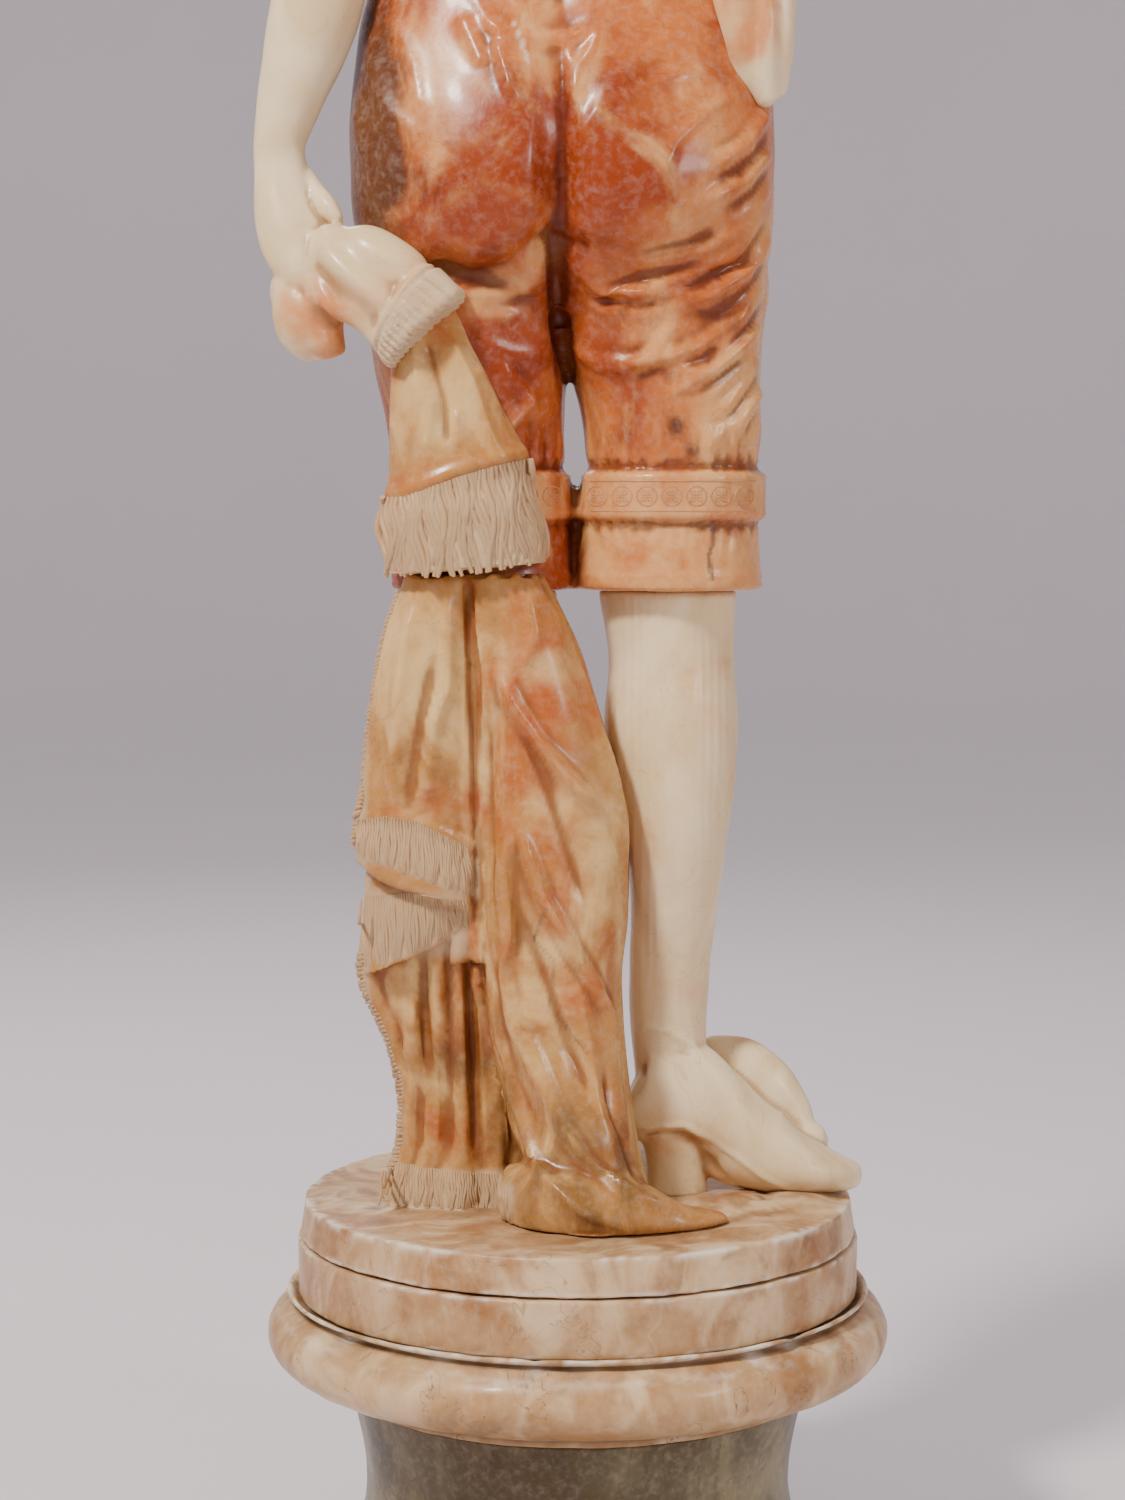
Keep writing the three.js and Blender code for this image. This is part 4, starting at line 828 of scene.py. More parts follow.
def garment_front(p, n):
    """Plainer creases on the front, in keeping with the back."""
    front = ease(-n[:, 1], 0.1, 0.6)
    lift = np.zeros(len(p))
    for line, width, height in (
        ([(-70, 560), (-40, 530), (-14, 500)], 6, 1.5), ([(84, 560), (54, 530), (28, 500)], 6, 1.5),
        ([(-84, 520), (-60, 500), (-34, 492)], 6, 1.2), ([(98, 520), (74, 500), (50, 492)], 6, 1.2),
        ([(-82, 440), (-50, 424), (-16, 422)], 4, 1.5), ([(98, 440), (64, 424), (28, 422)], 4, 1.5),
        ([(-80, 390), (-52, 380), (-20, 386)], 4, 1.4), ([(92, 390), (64, 380), (26, 386)], 4, 1.4),
        ([(8, 738), (8, 690), (8, 640)], 3, -0.9),
    ):
        away, _ = line_distance(p[:, 0], p[:, 2], line)
        lift += 0.7 * height * np.exp(-((away / width) ** 2))
    return lift * front


def sewn(p, n):
    """Waist sash, neck edging, cuff hems and the seams of the bands."""
    z = p[:, 2]
    side = np.abs(n[:, 2]) < 0.7
    lift = 1.6 * ease(z, 604, 607) * (1 - ease(z, 632, 635)) + 0.5 * np.sin(z / 1.9) * hump(z, 620, 13)
    lift += 1.4 * ease(z, 728, 730) + 0.9 * hump(z, 726, 1.8)
    lift += 0.9 * hump(z, 300.5, 1.5) + 0.9 * hump(z, 296.5, 1.4) + 0.7 * hump(z, CUFF_TOP + 3, 1.5)
    lift += 0.7 * hump(z, BAND_TOP - 2.5, 1.4) - 0.9 * hump(z, BAND_TOP + 2.5, 1.8) - 0.8 * hump(z, CUFF_TOP - 1.5, 1.6)
    gathers = np.sin(p[:, 0] * 1.1 + 2.0 * ripple(p, 30, 4)) * hump(z, BAND_TOP + 9, 8) * 0.7
    gathers += np.sin(p[:, 0] * 1.0 + 2.0 * ripple(p, 30, 5)) * hump(z, CUFF_TOP - 8, 8) * 0.45
    return (lift + gathers) * side


garment.carve(garment_front)
garment.carve(sewn)
garment.carve(lambda p, n: 0.25 * ripple(p, 34, 11))
garment.soften(1)
garment.soften(24, ease(-garment.points[:, 1], 14, 26) * hump(garment.points[:, 2], 448, 34))
p = garment.points
cuffs = 1 - ease(p[:, 2], CUFF_TOP - 2, CUFF_TOP + 2)
right_cuff = cuffs * (1 - ease(p[:, 0], -2, 2))
bands = ease(p[:, 2], CUFF_TOP, CUFF_TOP + 2) * (1 - ease(p[:, 2], BAND_TOP - 1, BAND_TOP + 1))
scar, _ = line_distance(p[:, 0], p[:, 2], [(29.5, 554), (26, 545), (22.5, 534)])
tear, _ = line_distance(p[:, 0], p[:, 2], [(-62, 326), (-64, 318), (-61, 310), (-63, 300)])
behind = ease(p[:, 1], 0, 12)
hip_side = hump(p[:, 2], 410, 70)
kept_marks(
    garment,
    warm=0.5 - 0.5 * right_cuff - 0.3 * bands + 0.35 * cuffs * ease(p[:, 0], 0, 6)
    - 0.4 * ease(-p[:, 0], 62, 84) * hip_side
    + patches(p, (-0.5, -70, 400, 26, 60), (0.4, 34, 400, 26, 44), (0.3, 60, 470, 24, 24),
              (0.3, 32, 488, 26, 18), (0.3, -40, 486, 26, 20)),
    pale=0.2 + 0.5 * right_cuff + 0.38 * bands + 0.4 * ease(-p[:, 0], 60, 84) * hip_side
    + patches(p, (0.45, -66, 390, 30, 56), (0.25, -40, 505, 30, 22), (0.3, -10, 452, 34, 10),
              (0.35, -20, 525, 40, 12), (0.2, 60, 530, 18, 24)),
    # The first two dark patches are painted shade: down the left flank and in the cleft of the seat.
    dark=0.08 + patches(p, (1.1, 98, 505, 20, 60), (0.3, 9, 470, 7, 26), (0.5, -40, 429, 5, 5), (0.5, -21, 423, 4, 5),
                        (0.5, -45, 371, 5, 6), (0.5, -55, 359, 5, 5), (0.3, 70, 480, 20, 10)),
    crack=0.8 * (1 - ease(tear, 0.4, 1.3)) * behind,
    worn=0.55 * (1 - ease(scar, 0.3, 1.1)) * behind,
)
garment_surface = garment.surface()
garment.set_down("breeches_and_bodice_carved", GARMENT_STONE, "garment_alabaster", "breeches_and_bodice")

# The shawl below the breeches: two panels, an under layer, pleats and the train.

hem_slant = lambda x, z: (x - 76) * 0.38 * (1 - ease(z, 166, 215))
under_slant = lambda x, z: (76 - x) * 0.5 * (1 - ease(z, 124, 180))
drape = Block("drape_block", [
    level_body(RIGHT_PANEL, 110, 100, lambda x, y, z, turn: -2.0 * ease(y, 10, 25)),
    level_body(LEFT_PANEL, 70, 90, None, hem_slant),
    level_body(UNDER_LAYER, 30, 90, None, under_slant),
    level_body(INNER_PLEATS, 70, 160,
               lambda x, y, z, turn: 1.6 * ease(y, -2, 4) * np.cos(12 * turn) * (1 - ease(z, 120, 150))),
    level_body([(120, 36, 66, 0, 46, 2.6), (200, 36, 66, 0, 52, 2.6), (300, 36, 66, 4, 50, 2.6)], 40, 60),
    limb(TRAIN, 60, 48, BACK),
], 1.55, 2)
drape.points[:, 2] = np.maximum(drape.points[:, 2], SEAM)
drape.carve(lambda p, n: folded(p, n, DRAPE_FOLDS, strength=1.25))
drape.carve(lambda p, n: folded(p, n, SWEEP_FOLDS, (0, 0.8, 0.6), drawn=True))
drape.carve(lambda p, n: folded(p, n, PLEAT_FOLDS) * (p[:, 2] < 150))


def drape_side(p, n):
    """Soft upright folds round the sides and the front of the lower shawl."""
    side = 1 - ease(n[:, 1], 0.1, 0.5)
    turn = np.arctan2(p[:, 1] - 28, p[:, 0] - 30)
    return 1.5 * side * np.sin(13 * turn + p[:, 2] / 60 + ripple(p, 90, 3)) * ease(p[:, 2], 2, 20)


drape.carve(drape_side)


def above_line(p, line):
    """How far each point is above a line, which is given across and up."""
    return p[:, 2] - np.interp(p[:, 0], [x for x, _ in line], [z for _, z in line])


def hem_of(p, line, tall):
    """1 on the back in the strip above a hem line."""
    above = above_line(p, line)
    return ease(above, -3, 0) * (1 - ease(above, tall - 1, tall)) * ease(p[:, 1], 5, 14)


PANEL_HEM = [(44, 150), (62, 158), (90, 168), (106, 172)]
BRAID = [(44, 173), (62, 181), (76, 188), (90, 190), (106, 187)]
drape.carve(lambda p, n: ribbed(p, hem_of(p, PANEL_HEM, 19) * (p[:, 0] > 46), 4.2, 0.9, 11, 81))
drape.carve(lambda p, n: hem_of(p, BRAID, 3) * (p[:, 0] > 47))
drape.carve(lambda p, n: ribbed(p, (1 - ease(p[:, 2], 17, 20)) * (p[:, 0] > 30) * ease(p[:, 1], 5, 12),
                                4.2, 1.0, 10, 83))
drape.carve(lambda p, n: 0.15 * ripple(p, 34, 21))
drape.soften(1)
p = drape.points
break_line, _ = line_distance(p[:, 0], p[:, 2], [(15, 147), (21, 132), (11, 122), (13, 99), (5, 90), (-5, 78)])
fringed_part = hem_of(p, PANEL_HEM, 17) * (p[:, 0] > 47) + (1 - ease(p[:, 2], 17, 20)) * ease(p[:, 0], 28, 32)
fringed_part += (1 - ease(p[:, 2], 150, 158)) * ease(p[:, 2], 118, 126) * ease(p[:, 0], 50, 54) + ease(p[:, 0], 97, 101)
groove, _ = line_distance(p[:, 0], p[:, 2], [(51, 302), (49, 242), (48, 178), (48, 120)])
in_groove = np.exp(-(groove / 4) ** 2) * ease(p[:, 1], 5, 20) * ease(p[:, 2], 110, 150)
kept_marks(
    drape,
    warm=0.24 + 0.5 * in_groove
    + patches(p, (0.4, 22, 230, 22, 40), (0.3, 14, 150, 24, 40), (0.08, 56, 80, 34, 50),
              (0.3, 6, 180, 30, 30), (-0.25, 78, 235, 26, 50)),
    # Painted highlight: the pale patch in the middle of the left panel, which is also made less warm above.
    pale=0.3 + patches(p, (0.45, 76, 235, 28, 60), (0.2, 22, 262, 20, 24), (0.25, 20, 110, 24, 30)),
    # The two broad dark patches, low on the train and among the pleats, are painted shade.
    dark=0.14 + patches(p, (0.4, 44, 150, 8, 24), (0.5, 0, 30, 50, 50), (0.3, 70, 70, 30, 50)),
    crack=0.8 * (1 - ease(break_line, 0.2, 1.0)) * ease(p[:, 1], 5, 15) * (0.6 + 0.4 * ripple(p, 9, 24)),
    tooled=fringed_part,
)
drape_surface = drape.surface()
drape.set_down("shawl_drape_carved", *SHAWL, "shawl_lower_drape")

# The shawl above, from the hand to the fringe that hangs over the cuffs.

fall_slant = lambda x, z: (76 - x) * np.where(z > 336, 0.1, 0.08) * (1 - ease(z, 345, 400))
fall = Block("fall_block", [level_body(UPPER_FALL, 90, 120, None, fall_slant)], 1.1, 3)
fall.points[:, 2] = np.maximum(fall.points[:, 2], FALL_HEM + SEAM)
fall.carve(lambda p, n: folded(p, n, FALL_FOLDS))


FALL_FRINGE_TOP = [(20, 360), (34, 357), (57, 350), (80, 341), (92, 340)]


def fall_hem(p, n):
    """The rolled hem above the fringe, and a step down to the fringe's ground."""
    away, _ = line_distance(p[:, 0], p[:, 2], FALL_FRINGE_TOP)
    above = above_line(p, FALL_FRINGE_TOP)
    back = ease(n[:, 1], -0.2, 0.4)
    return (1.9 * np.exp(-(away / 3.2) ** 2) - 1.2 * (1 - ease(above, -5, -2))) * back


fall.carve(fall_hem)
p = fall.points
fall_fringed = 1 - ease(above_line(p, FALL_FRINGE_TOP), -6, -3)
fall.carve(lambda p, n: ribbed(p, fall_fringed * ease(np.abs(n[:, 1]), 0.2, 0.5), 3.4, 0.9, 12, 85))
p = fall.points
kept_marks(fall, warm=0.32 + 0.4 * patch(p, 48, 366, 14, 14), pale=0.35 + 0.3 * patch(p, 70, 380, 20, 30)
           + 0.25 * (1 - ease(p[:, 2], 330, 345)), dark=0.1, tooled=fall_fringed)
fall_surface = fall.surface()
fall.set_down("shawl_fall_carved", *SHAWL, "shawl_upper_fall")

# The legs and shoes.

RIGHT_BOW = [
    limb([(-112, -10, 22, 6, 7), (-105, -15, 33, 12, 10), (-93, -18, 46, 16, 13), (-80, -19, 58, 15, 13),
          (-69, -18, 66, 9, 9), (-63, -17, 71, 3, 3)], 40, 36, (-0.66, 0, 0.75)),
    limb([(-112, -8, 20, 6, 6), (-110, -24, 24, 9, 8), (-106, -38, 19, 12, 9), (-100, -48, 11, 9, 6)],
         30, 30, UP),
    limb([(-112, -10, 22, 6, 6), (-117, -17, 14, 8.5, 6.5), (-117.5, -20, 3, 8.5, 6.5)], 24, 30, ACROSS),
    limb([(-104, -8, 28, 4, 4), (-110, -8, 25, 8.5, 8), (-117, -10, 22, 8.5, 8), (-122, -11, 20, 4, 4)],
         24, 30, UP),
    limb([(-56, 3, 26, 8, 10), (-74, 3, 17, 8, 13), (-92, 4, 9, 9, 9), (-110, 5, 4, 9, 5)], 40, 36, BACK),
]
KNOT_X = 49.5
LEFT_BOW = [
    limb([(43, -44, 37, 3, 3), (46, -46, 38, 7.5, 7.5), (52, -46, 38, 7.5, 7.5), (56, -44, 37, 3, 3)],
         20, 26, UP),
    *[limb([(KNOT_X, -43, 37, 4, 4), (KNOT_X + hand * 10, -42, 43, 10, 6.5), (KNOT_X + hand * 22, -41, 44, 13, 8),
            (KNOT_X + hand * 32, -41, 36, 6, 4)], 26, 28, (0, 0.5, 1)) for hand in (-1, 1)],
]
RIGHT_SHOE_LINES = [
    ([(-27, 77), (-33, 81), (-44, 79), (-55, 71), (-64, 62)], 1.6, 1.5),
    ([(-29, 30), (-39, 32), (-52, 32), (-65, 25)], 1.2, 1.8),
    ([(-65, 25), (-77, 17), (-90, 7), (-112, -4), (-137, -1)], 1.4, 1.2),
    ([(-29, 26), (-39, 28), (-52, 28), (-65, 21)], 1.6, -1.4),
]


def leg(name, node, leg_table, shoe_table, side, heel_table, bow, seed, shoe_lines=()):
    """A leg with its shoe, heel and bow in one block, finely tooled all over."""
    block = Block(name + "_block", [
        level_body(leg_table, 90, 72), limb(shoe_table, 90, 64, side), level_body(heel_table, 30, 48), *bow,
    ], 1.6, 2)
    block.points[:, 2] = np.maximum(block.points[:, 2], SEAM)
    block.carve(lambda p, n: folded(p, n, shoe_lines, (0, 0.9, 0.3), drawn=True))
    tool_lines = lambda p: 0.12 * np.sin(p[:, 0] * 1.6 + ripple(p, 60, seed)) * ease(p[:, 2], 90, 120)
    block.carve(lambda p, n: 0.16 * ripple(p, 24, seed) + tool_lines(p))
    q = block.points
    kept_marks(block, warm=0.12 + 0.4 * hump(q[:, 2], 34, 16) * hump(q[:, 0], -46, 26),
               pale=0.42 + 0.2 * ease(-q[:, 0], 90, 120), dark=0.1 + 0.1 * (1 - ease(q[:, 2], 2, 10)))
    block.set_down(name, *FLESH, node)


leg("right_leg_carved", "right_leg_and_shoe", RIGHT_LEG, RIGHT_SHOE, BACK, RIGHT_HEEL, RIGHT_BOW, 41,
    RIGHT_SHOE_LINES)
leg("left_leg_carved", "left_leg_and_shoe", LEFT_LEG, LEFT_SHOE, ACROSS, LEFT_HEEL, LEFT_BOW, 42)

# The arms, one with the gathered shawl in its hand.


def ball(x, y, z, wide, deep, tall):
    """An egg of stone round a middle."""
    rows = [(z + tall * math.sin(a), x - wide * math.cos(a), x + wide * math.cos(a),
             y - deep * math.cos(a), y + deep * math.cos(a), 2)
            for a in np.linspace(-math.pi / 2 + 0.05, math.pi / 2 - 0.05, 9)]
    return level_body(rows, 24, 30)


def finger(path, radius):
    """A bent finger through its joints, from the knuckle to the tip."""
    thick = [radius * k for k in (1.0, 1.05, 0.95, 0.6)]
    return limb([(x, y, z, r, r) for (x, y, z), r in zip(path, thick)], 36, 28, BACK)


left_arm = Block("left_arm_block", [
    limb(LEFT_ARM, 150, 60, ACROSS), limb(GATHER, 50, 70, (0.7, 0, -0.7)),
    limb(HANGING_FOLD, 40, 50, (1, 0, 0.2)),
    limb([(129, 22, 488, 5, 6), (123, 28, 479, 5.5, 6), (117, 34, 472, 5, 6), (111, 39, 465, 3, 3.5)],
         30, 28, (1, 0, 0.4)),
    finger([(117, 40, 462), (113, 47, 446), (108, 52, 430), (102, 50, 419)], 5.4),
    finger([(123, 38, 459), (119, 45, 444), (113, 50, 429), (107, 48, 420)], 5.4),
    finger([(128, 36, 455), (125, 42, 441), (120, 46, 429), (113, 44, 423)], 5),
    ball(125, 36, 421, 17, 14, 19), ball(131, 33, 433, 13, 12, 15),
], 1.4, 2)
left_arm.points[:, 2] = np.minimum(left_arm.points[:, 2], BODICE_TOP)


CLOTH_START, CLOTH_WAY = np.array([124, 36, 452]), np.array([-54, 19, -37]) / 68.2


def gather_folds(p, n):
    """Folds that run along the gathered cloth to the hand, then its cord and short fringe."""
    down = (p - CLOTH_START) @ CLOTH_WAY
    across = (p[:, 2] - 452) * 0.82 - (p[:, 0] - 124) * 0.56 + 0.5 * (p[:, 1] - 50)
    cloth = ease(down, 2, 12) * (p[:, 2] < 474) * (1 - ease(p[:, 0], 120, 128))
    broad = 1.3 * np.sin(across / 3.4 + 0.7 * ripple(p, 60, 7)) * (1 - ease(down, 48, 54))
    ribs = (np.abs(np.sin(across * math.pi / 3.6)) ** 0.7 - 0.6) * 2.2 * ease(down, 56, 58)
    cord = 1.6 * np.exp(-(((down - 54) / 1.5) ** 2)) + 1.5 * ease(down, 56, 57.5)
    return cloth * (1.3 * broad + ribs + cord)


left_arm.carve(gather_folds)
left_arm.carve(lambda p, n: 0.18 * ripple(p, 24, 51))
p = left_arm.points
cloth = ease(134 - p[:, 0], 8, 20) * (p[:, 2] < 468)
hanging = patch(p, 122, 420, 18, 22)
cut_end = cloth * ease((p - CLOTH_START) @ CLOTH_WAY, 53, 55)
kept_marks(left_arm, warm=0.1 + 0.28 * cloth + 0.6 * hanging, pale=0.45 - 0.25 * cloth - 0.2 * hanging, dark=0.05,
           tooled=cut_end)
left_arm.set_down("left_arm_carved", *FLESH, "left_arm_and_gather")

right_arm = Block("right_arm_block", [
    limb(RIGHT_ARM[:-2] + [(-50, -96, 625, 9, 5)], 130, 60, ACROSS), limb(SCARF_END, 70, 60, (1, 0, 0.25)),
    *[finger([(-62 + 0.55 * out, -86 + 0.8 * out, 627), (-50 + 0.55 * out, -95 + 0.8 * out, 627 - 0.05 * abs(out)),
              (-40 + 0.5 * out, -101 + 0.7 * out, 621 - 0.1 * abs(out)), (-36 + 0.45 * out, -102 + 0.6 * out, 611)],
             3.9) for out in (-10.5, -3.5, 3.5, 10.5)],
    finger([(-66, -74, 622), (-60, -72, 612), (-56, -76, 603)], 4.2),
    limb([(-88, -30, 606, 12, 6), (-92, -28, 590, 15, 7), (-93, -27, 570, 14, 7), (-92, -27, 552, 9, 5)],
         40, 40, BACK),
], 1.5, 2)
right_arm.points[:, 2] = np.minimum(right_arm.points[:, 2], BODICE_TOP)
right_arm.carve(lambda p, n: 1.1 * np.sin(p[:, 0] / 2.4 + 0.5 * ripple(p, 40, 8)) * (1 - ease(p[:, 2], 600, 622))
                + 0.15 * ripple(p, 24, 52))
p = right_arm.points
scarf = 1 - ease(p[:, 2], 604, 622)
kept_marks(right_arm, warm=0.12 + 0.25 * scarf + 0.5 * patch(p, -82, 548, 8, 10), pale=0.45 + 0.15 * scarf, dark=0.05)
right_arm.set_down("right_arm_carved", *FLESH, "right_arm_and_scarf")

# Head and shoulders.


def face_front(x, z):
    """Where the front of the head's plain form lies."""
    x0, x1, y0, y1, power = (np.interp(z, [row[0] for row in HEAD], [row[k] for row in HEAD]) for k in range(1, 6))
    out = np.clip(np.abs((x - (x0 + x1) / 2) / ((x1 - x0) / 2)), 0, 0.99)
    return (y0 + y1) / 2 - (y1 - y0) / 2 * (1 - out ** power) ** (1 / power)


def on_face(side, path):
    """A limb on the face from points of distance from the middle, height, how far it stands out, width and depth."""
    return limb([(FACE_X + side * out, face_front(FACE_X + side * out, z) - lift + deep, z, wide, deep)
                 for out, z, lift, wide, deep in path], 44, 22, UP)


def sockets(x, y, z, turn):
    """Hollows for the eyes, soft cheeks and a narrower jaw."""
    beside = np.abs(x - FACE_X)
    front = ease(-y, 20, 40)
    jaw = -3.4 * hump(z, 844, 17) * ease(beside, 12, 26) - 1.6 * hump(z, 868, 18) * ease(beside, 22, 34)
    return jaw + front * (-4 * hump(beside, 15.5, 10) * hump(z, 888.5, 8) + 1.3 * hump(beside, 22, 9) * hump(z, 873, 9)
                          + 2.2 * hump(beside, 0, 12) * hump(z, 836, 8) - 1.2 * hump(beside, 0, 10) * hump(z, 844, 4)
                          - 0.8 * hump(beside, 14, 3) * hump(z, 853, 5) - 0.8 * hump(beside, 0, 3) * hump(z, 860, 5))


shoulders = Block("shoulders_block", [
    level_body(SHOULDERS, 60, 90),
    *[limb([(x, 1, 716, 20.4, 23.4), (x, 1, 726, 21.6, 24.6), (x, 1, 738, 22.3, 25.3), (x, 1, 749, 22.2, 25.2),
            (x + lean * 2, 1, 759, 20.7, 23.7), (x + lean * 6, 1, 767, 15.5, 18.5), (x + lean * 12, 1, 772, 7, 10)],
           50, 50, ACROSS) for x, lean in ((110, -1), (-96, 1))],
    limb([(41, 3, 776, 20, 10), (73, 3, 768, 22, 13), (98, 2, 756, 23, 17), (104, 2, 744, 22, 17)],
         40, 50, BACK),
    limb([(-27, 3, 776, 20, 10), (-59, 3, 768, 22, 13), (-84, 2, 756, 23, 17), (-90, 2, 744, 22, 17)],
         40, 50, BACK),
], 1.9, 6)
over_arm = np.maximum(ease(-shoulders.points[:, 0], 72, 76), ease(shoulders.points[:, 0], 86, 90))
shoulders.points[:, 2] = np.maximum(shoulders.points[:, 2], (BODICE_TOP + SEAM) * (1 - over_arm) + 712 * over_arm)


def collarbones(p, n):
    """Soft collarbones and the dip between them."""
    out = np.abs(p[:, 0] - 7.5)
    away = p[:, 1] + 32 - 0.2 * out
    bone = np.exp(-(away / 4) ** 2) * ease(out, 4, 14) * (1 - ease(out, 46, 74)) * ease(p[:, 2], 758, 766)
    notch = np.exp(-(out / 5) ** 2) * hump(p[:, 2], 778, 8) * ease(-p[:, 1], 0, 10)
    return 0.12 * ripple(p, 34, 54) + 1.1 * bone - 1.3 * notch


shoulders.carve(collarbones)
kept_marks(shoulders, warm=0.12, pale=0.45)
shoulders.set_down("shoulders_carved", *FLESH, "head_and_shoulders")

KNOT_Z = 862
face_bodies = [
    limb([(FACE_X, face_front(FACE_X, z) - lift + deep, z, wide, deep) for z, lift, wide, deep in (
        (900, 0.6, 3.8, 3), (893, 2.6, 3.2, 3.6), (885, 5, 3.4, 4.2), (877, 8, 4.2, 5), (871, 10.4, 5.0, 5.6),
        (867.5, 9.6, 4.6, 5), (865.5, 5, 3.2, 4))], 44, 32, ACROSS),
    on_face(1, [(-13, 852.8, 0.3, 1.2, 1.6), (-7, 855.1, 2.4, 2.6, 3), (-2, 855.6, 3.2, 2.7, 3.2),
                (0, 855, 2.9, 2.4, 3.2), (2, 855.6, 3.2, 2.7, 3.2), (7, 855.1, 2.4, 2.6, 3),
                (13, 852.8, 0.3, 1.2, 1.6)]),
    on_face(1, [(-11.5, 851.8, 0.2, 1.2, 1.6), (-5, 848.9, 2.8, 3, 3.4), (0, 848.5, 3.3, 3.1, 3.6),
                (5, 848.9, 2.8, 3, 3.4), (11.5, 851.8, 0.2, 1.2, 1.6)]),
]
for side in (-1, 1):
    face_bodies += [
        ball(FACE_X + side * 5.4, face_front(FACE_X, 868) + 1.2, 868, 3.2, 5, 3.3),
        ball(FACE_X + side * 15.5, face_front(FACE_X + side * 15.5, 888) + 7.6, 888, 8.6, 7.6, 6.2),
        on_face(side, [(7, 886.8, -2.2, 1, 1.2), (10.5, 891.6, 0.4, 1.5, 1.8), (16, 893.6, 1.2, 1.7, 2),
                       (21, 892, 0.5, 1.5, 1.8), (25.5, 887, -2, 1, 1.2)]),
        on_face(side, [(3.5, 895.5, 0, 5, 7), (11, 900.5, 0.7, 5.4, 7), (22, 901, 0.7, 5, 7), (31, 896, 0, 4, 7)]),
    ]


def waves(x, y, z, turn):
    """Broad waves of the hair."""
    return 0.9 * np.sin(9 * turn + z / 9) * ease(z, 850, 870) * (1 - ease(z, 935, 952))


head = Block("head_block", [
    level_body(HEAD, 110, 120, sockets), level_body(HAIR, 90, 140, waves), *face_bodies,
    level_body([(812, -16, 32, -16, 24, 2), (832, -15, 31, -20, 24, 2), (856, -14, 30, -20, 21, 2)], 20, 60),
    limb([(FACE_X, 40, 868, 8, 8), (FACE_X, 50, 864, 19, 15), (FACE_X, 60, KNOT_Z, 20, 16),
          (FACE_X, 70, 860, 8, 8)], 50, 60, ACROSS),
], 1.12, 2)


def hair(p, n):
    """Locks that run back over the head to the knot."""
    x, y, z = p.T
    beside = x - FACE_X
    brow = 921 - 0.012 * beside**2
    face_side = ease(-y, 20, 34) * (1 - ease(z, brow + 1, brow + 9))
    over = ease(z, 850, 858) * (1 - face_side) * ease(y + (z - 850) * 0.62, -12, -4)
    angle = np.arctan2(z - KNOT_Z, beside)
    knot = ease(y, 50, 54)
    locks = np.sin(26 * angle + 2.2 * ripple(p, 60, 61)) + 0.35 * np.sin(70 * angle + 2 * ripple(p, 40, 62))
    coil = np.sin(9 * angle + np.hypot(beside, z - KNOT_Z) / 1.7)
    parting = np.exp(-(beside / 1.3) ** 2) * ease(z, 915, 925) * ease(30 - y, 0, 14)
    edge = 1.5 * hump(z, brow + 5, 5) * ease(-y, 20, 34)
    return over * (0.62 * locks * (1 - knot) + 0.9 * coil * knot - 1.2 * parting) + edge


head.carve(hair)


def mouth_line(p, n):
    """The line between the lips."""
    away, _ = line_distance(p[:, 0], p[:, 2], [(-4, 852.4), (2, 852.2), (7, 851.7), (12, 852.2), (18, 852.4)])
    return -1.1 * np.exp(-(away / 0.9) ** 2) * ease(-p[:, 1], 40, 46) + 0.06 * ripple(p, 30, 53)


head.carve(mouth_line)
p = head.points
kept_marks(head, warm=0.1 + 0.2 * ease(p[:, 2], 905, 940),
           pale=0.45 + 0.45 * ease(-p[:, 1], 30, 46) * (1 - ease(p[:, 2], 905, 925)), deep=0.12)
head.set_down("head_carved", *FLESH)

# Fringes.

fringe("fall_fringe", fall_surface, [(91, 338), (80, 338), (57, 347), (34, 354), (22, 356)],
       [(92, 304.5), (80, 304), (57, 304.5), (34, 307), (15, 312)], 40, 1.7, wave=2.1, seed=3, lift=-0.2, tuft=8)
fringe("panel_fringe", drape_surface, [(104, 187), (90, 190), (76, 188), (62, 181), (52, 175)],
       [(105, 172), (90, 168), (76, 163), (62, 158), (49, 152)], 42, 0.9, wave=0.5, seed=5, lift=0.2, tuft=7)
fringe("under_fringe", drape_surface, [(102, 150), (90, 152), (76, 154), (64, 152), (53, 150)],
       [(103, 116), (92, 119), (78, 125), (64, 131), (52, 137)], 44, 0.95, wave=0.5, seed=8, lift=0.2, tuft=7)
fringe("pleat_fringe", drape_surface, [(92, 21), (78, 20), (56, 18), (34, 16)],
       [(95, 3.5), (78, 2.5), (56, 2), (32, 1.5)], 48, 0.9, wave=0.5, seed=6, lift=0.2, tuft=6)
edge_fringe("panel_edge_fringe", drape_surface, np.arange(176, 296, 2.0), range(14, 52, 4), 1.2, 9)
edge_fringe("pleat_edge_fringe", drape_surface, np.arange(12, 124, 2.0), range(6, 40, 4), 1.2, 10)


def rosette_lines(surface, middles, z, size):
    """Incised ornament for a band: a ring with four petals, laid on the back at each middle."""
    lines = []
    for x in middles:
        ring = [(x + size * math.cos(a), z + size * math.sin(a)) for a in np.linspace(0, 2 * math.pi, 15)]
        lines.append((laid(surface, ring, -0.1), 0.4))
        for turn in np.arange(4) * math.pi / 2 + math.pi / 4:
            petal = [(x + r * math.cos(turn + b), z + r * math.sin(turn + b)) for r, b in
                     ((0.5, 0), (size * 0.5, 0.45), (size * 0.85, 0), (size * 0.5, -0.45), (0.5, 0))]
            lines.append((laid(surface, petal, -0.1), 0.32))
    return lines


right_band = rosette_lines(garment_surface, np.arange(-78, -8, 11.5), BAND_MIDDLE, 4.6)
for z in (BAND_MIDDLE - 7, BAND_MIDDLE + 7):
    right_band.append((laid(garment_surface, [(x, z) for x in np.arange(-84, -5, 3)], -0.1), 0.45))
left_band = rosette_lines(garment_surface, np.arange(12, 84, 11.5), BAND_MIDDLE, 4.6)
strands("band_ornament", right_band + left_band, GARMENT_STONE, "garment_alabaster", 5, 0.5)

# The turned base.

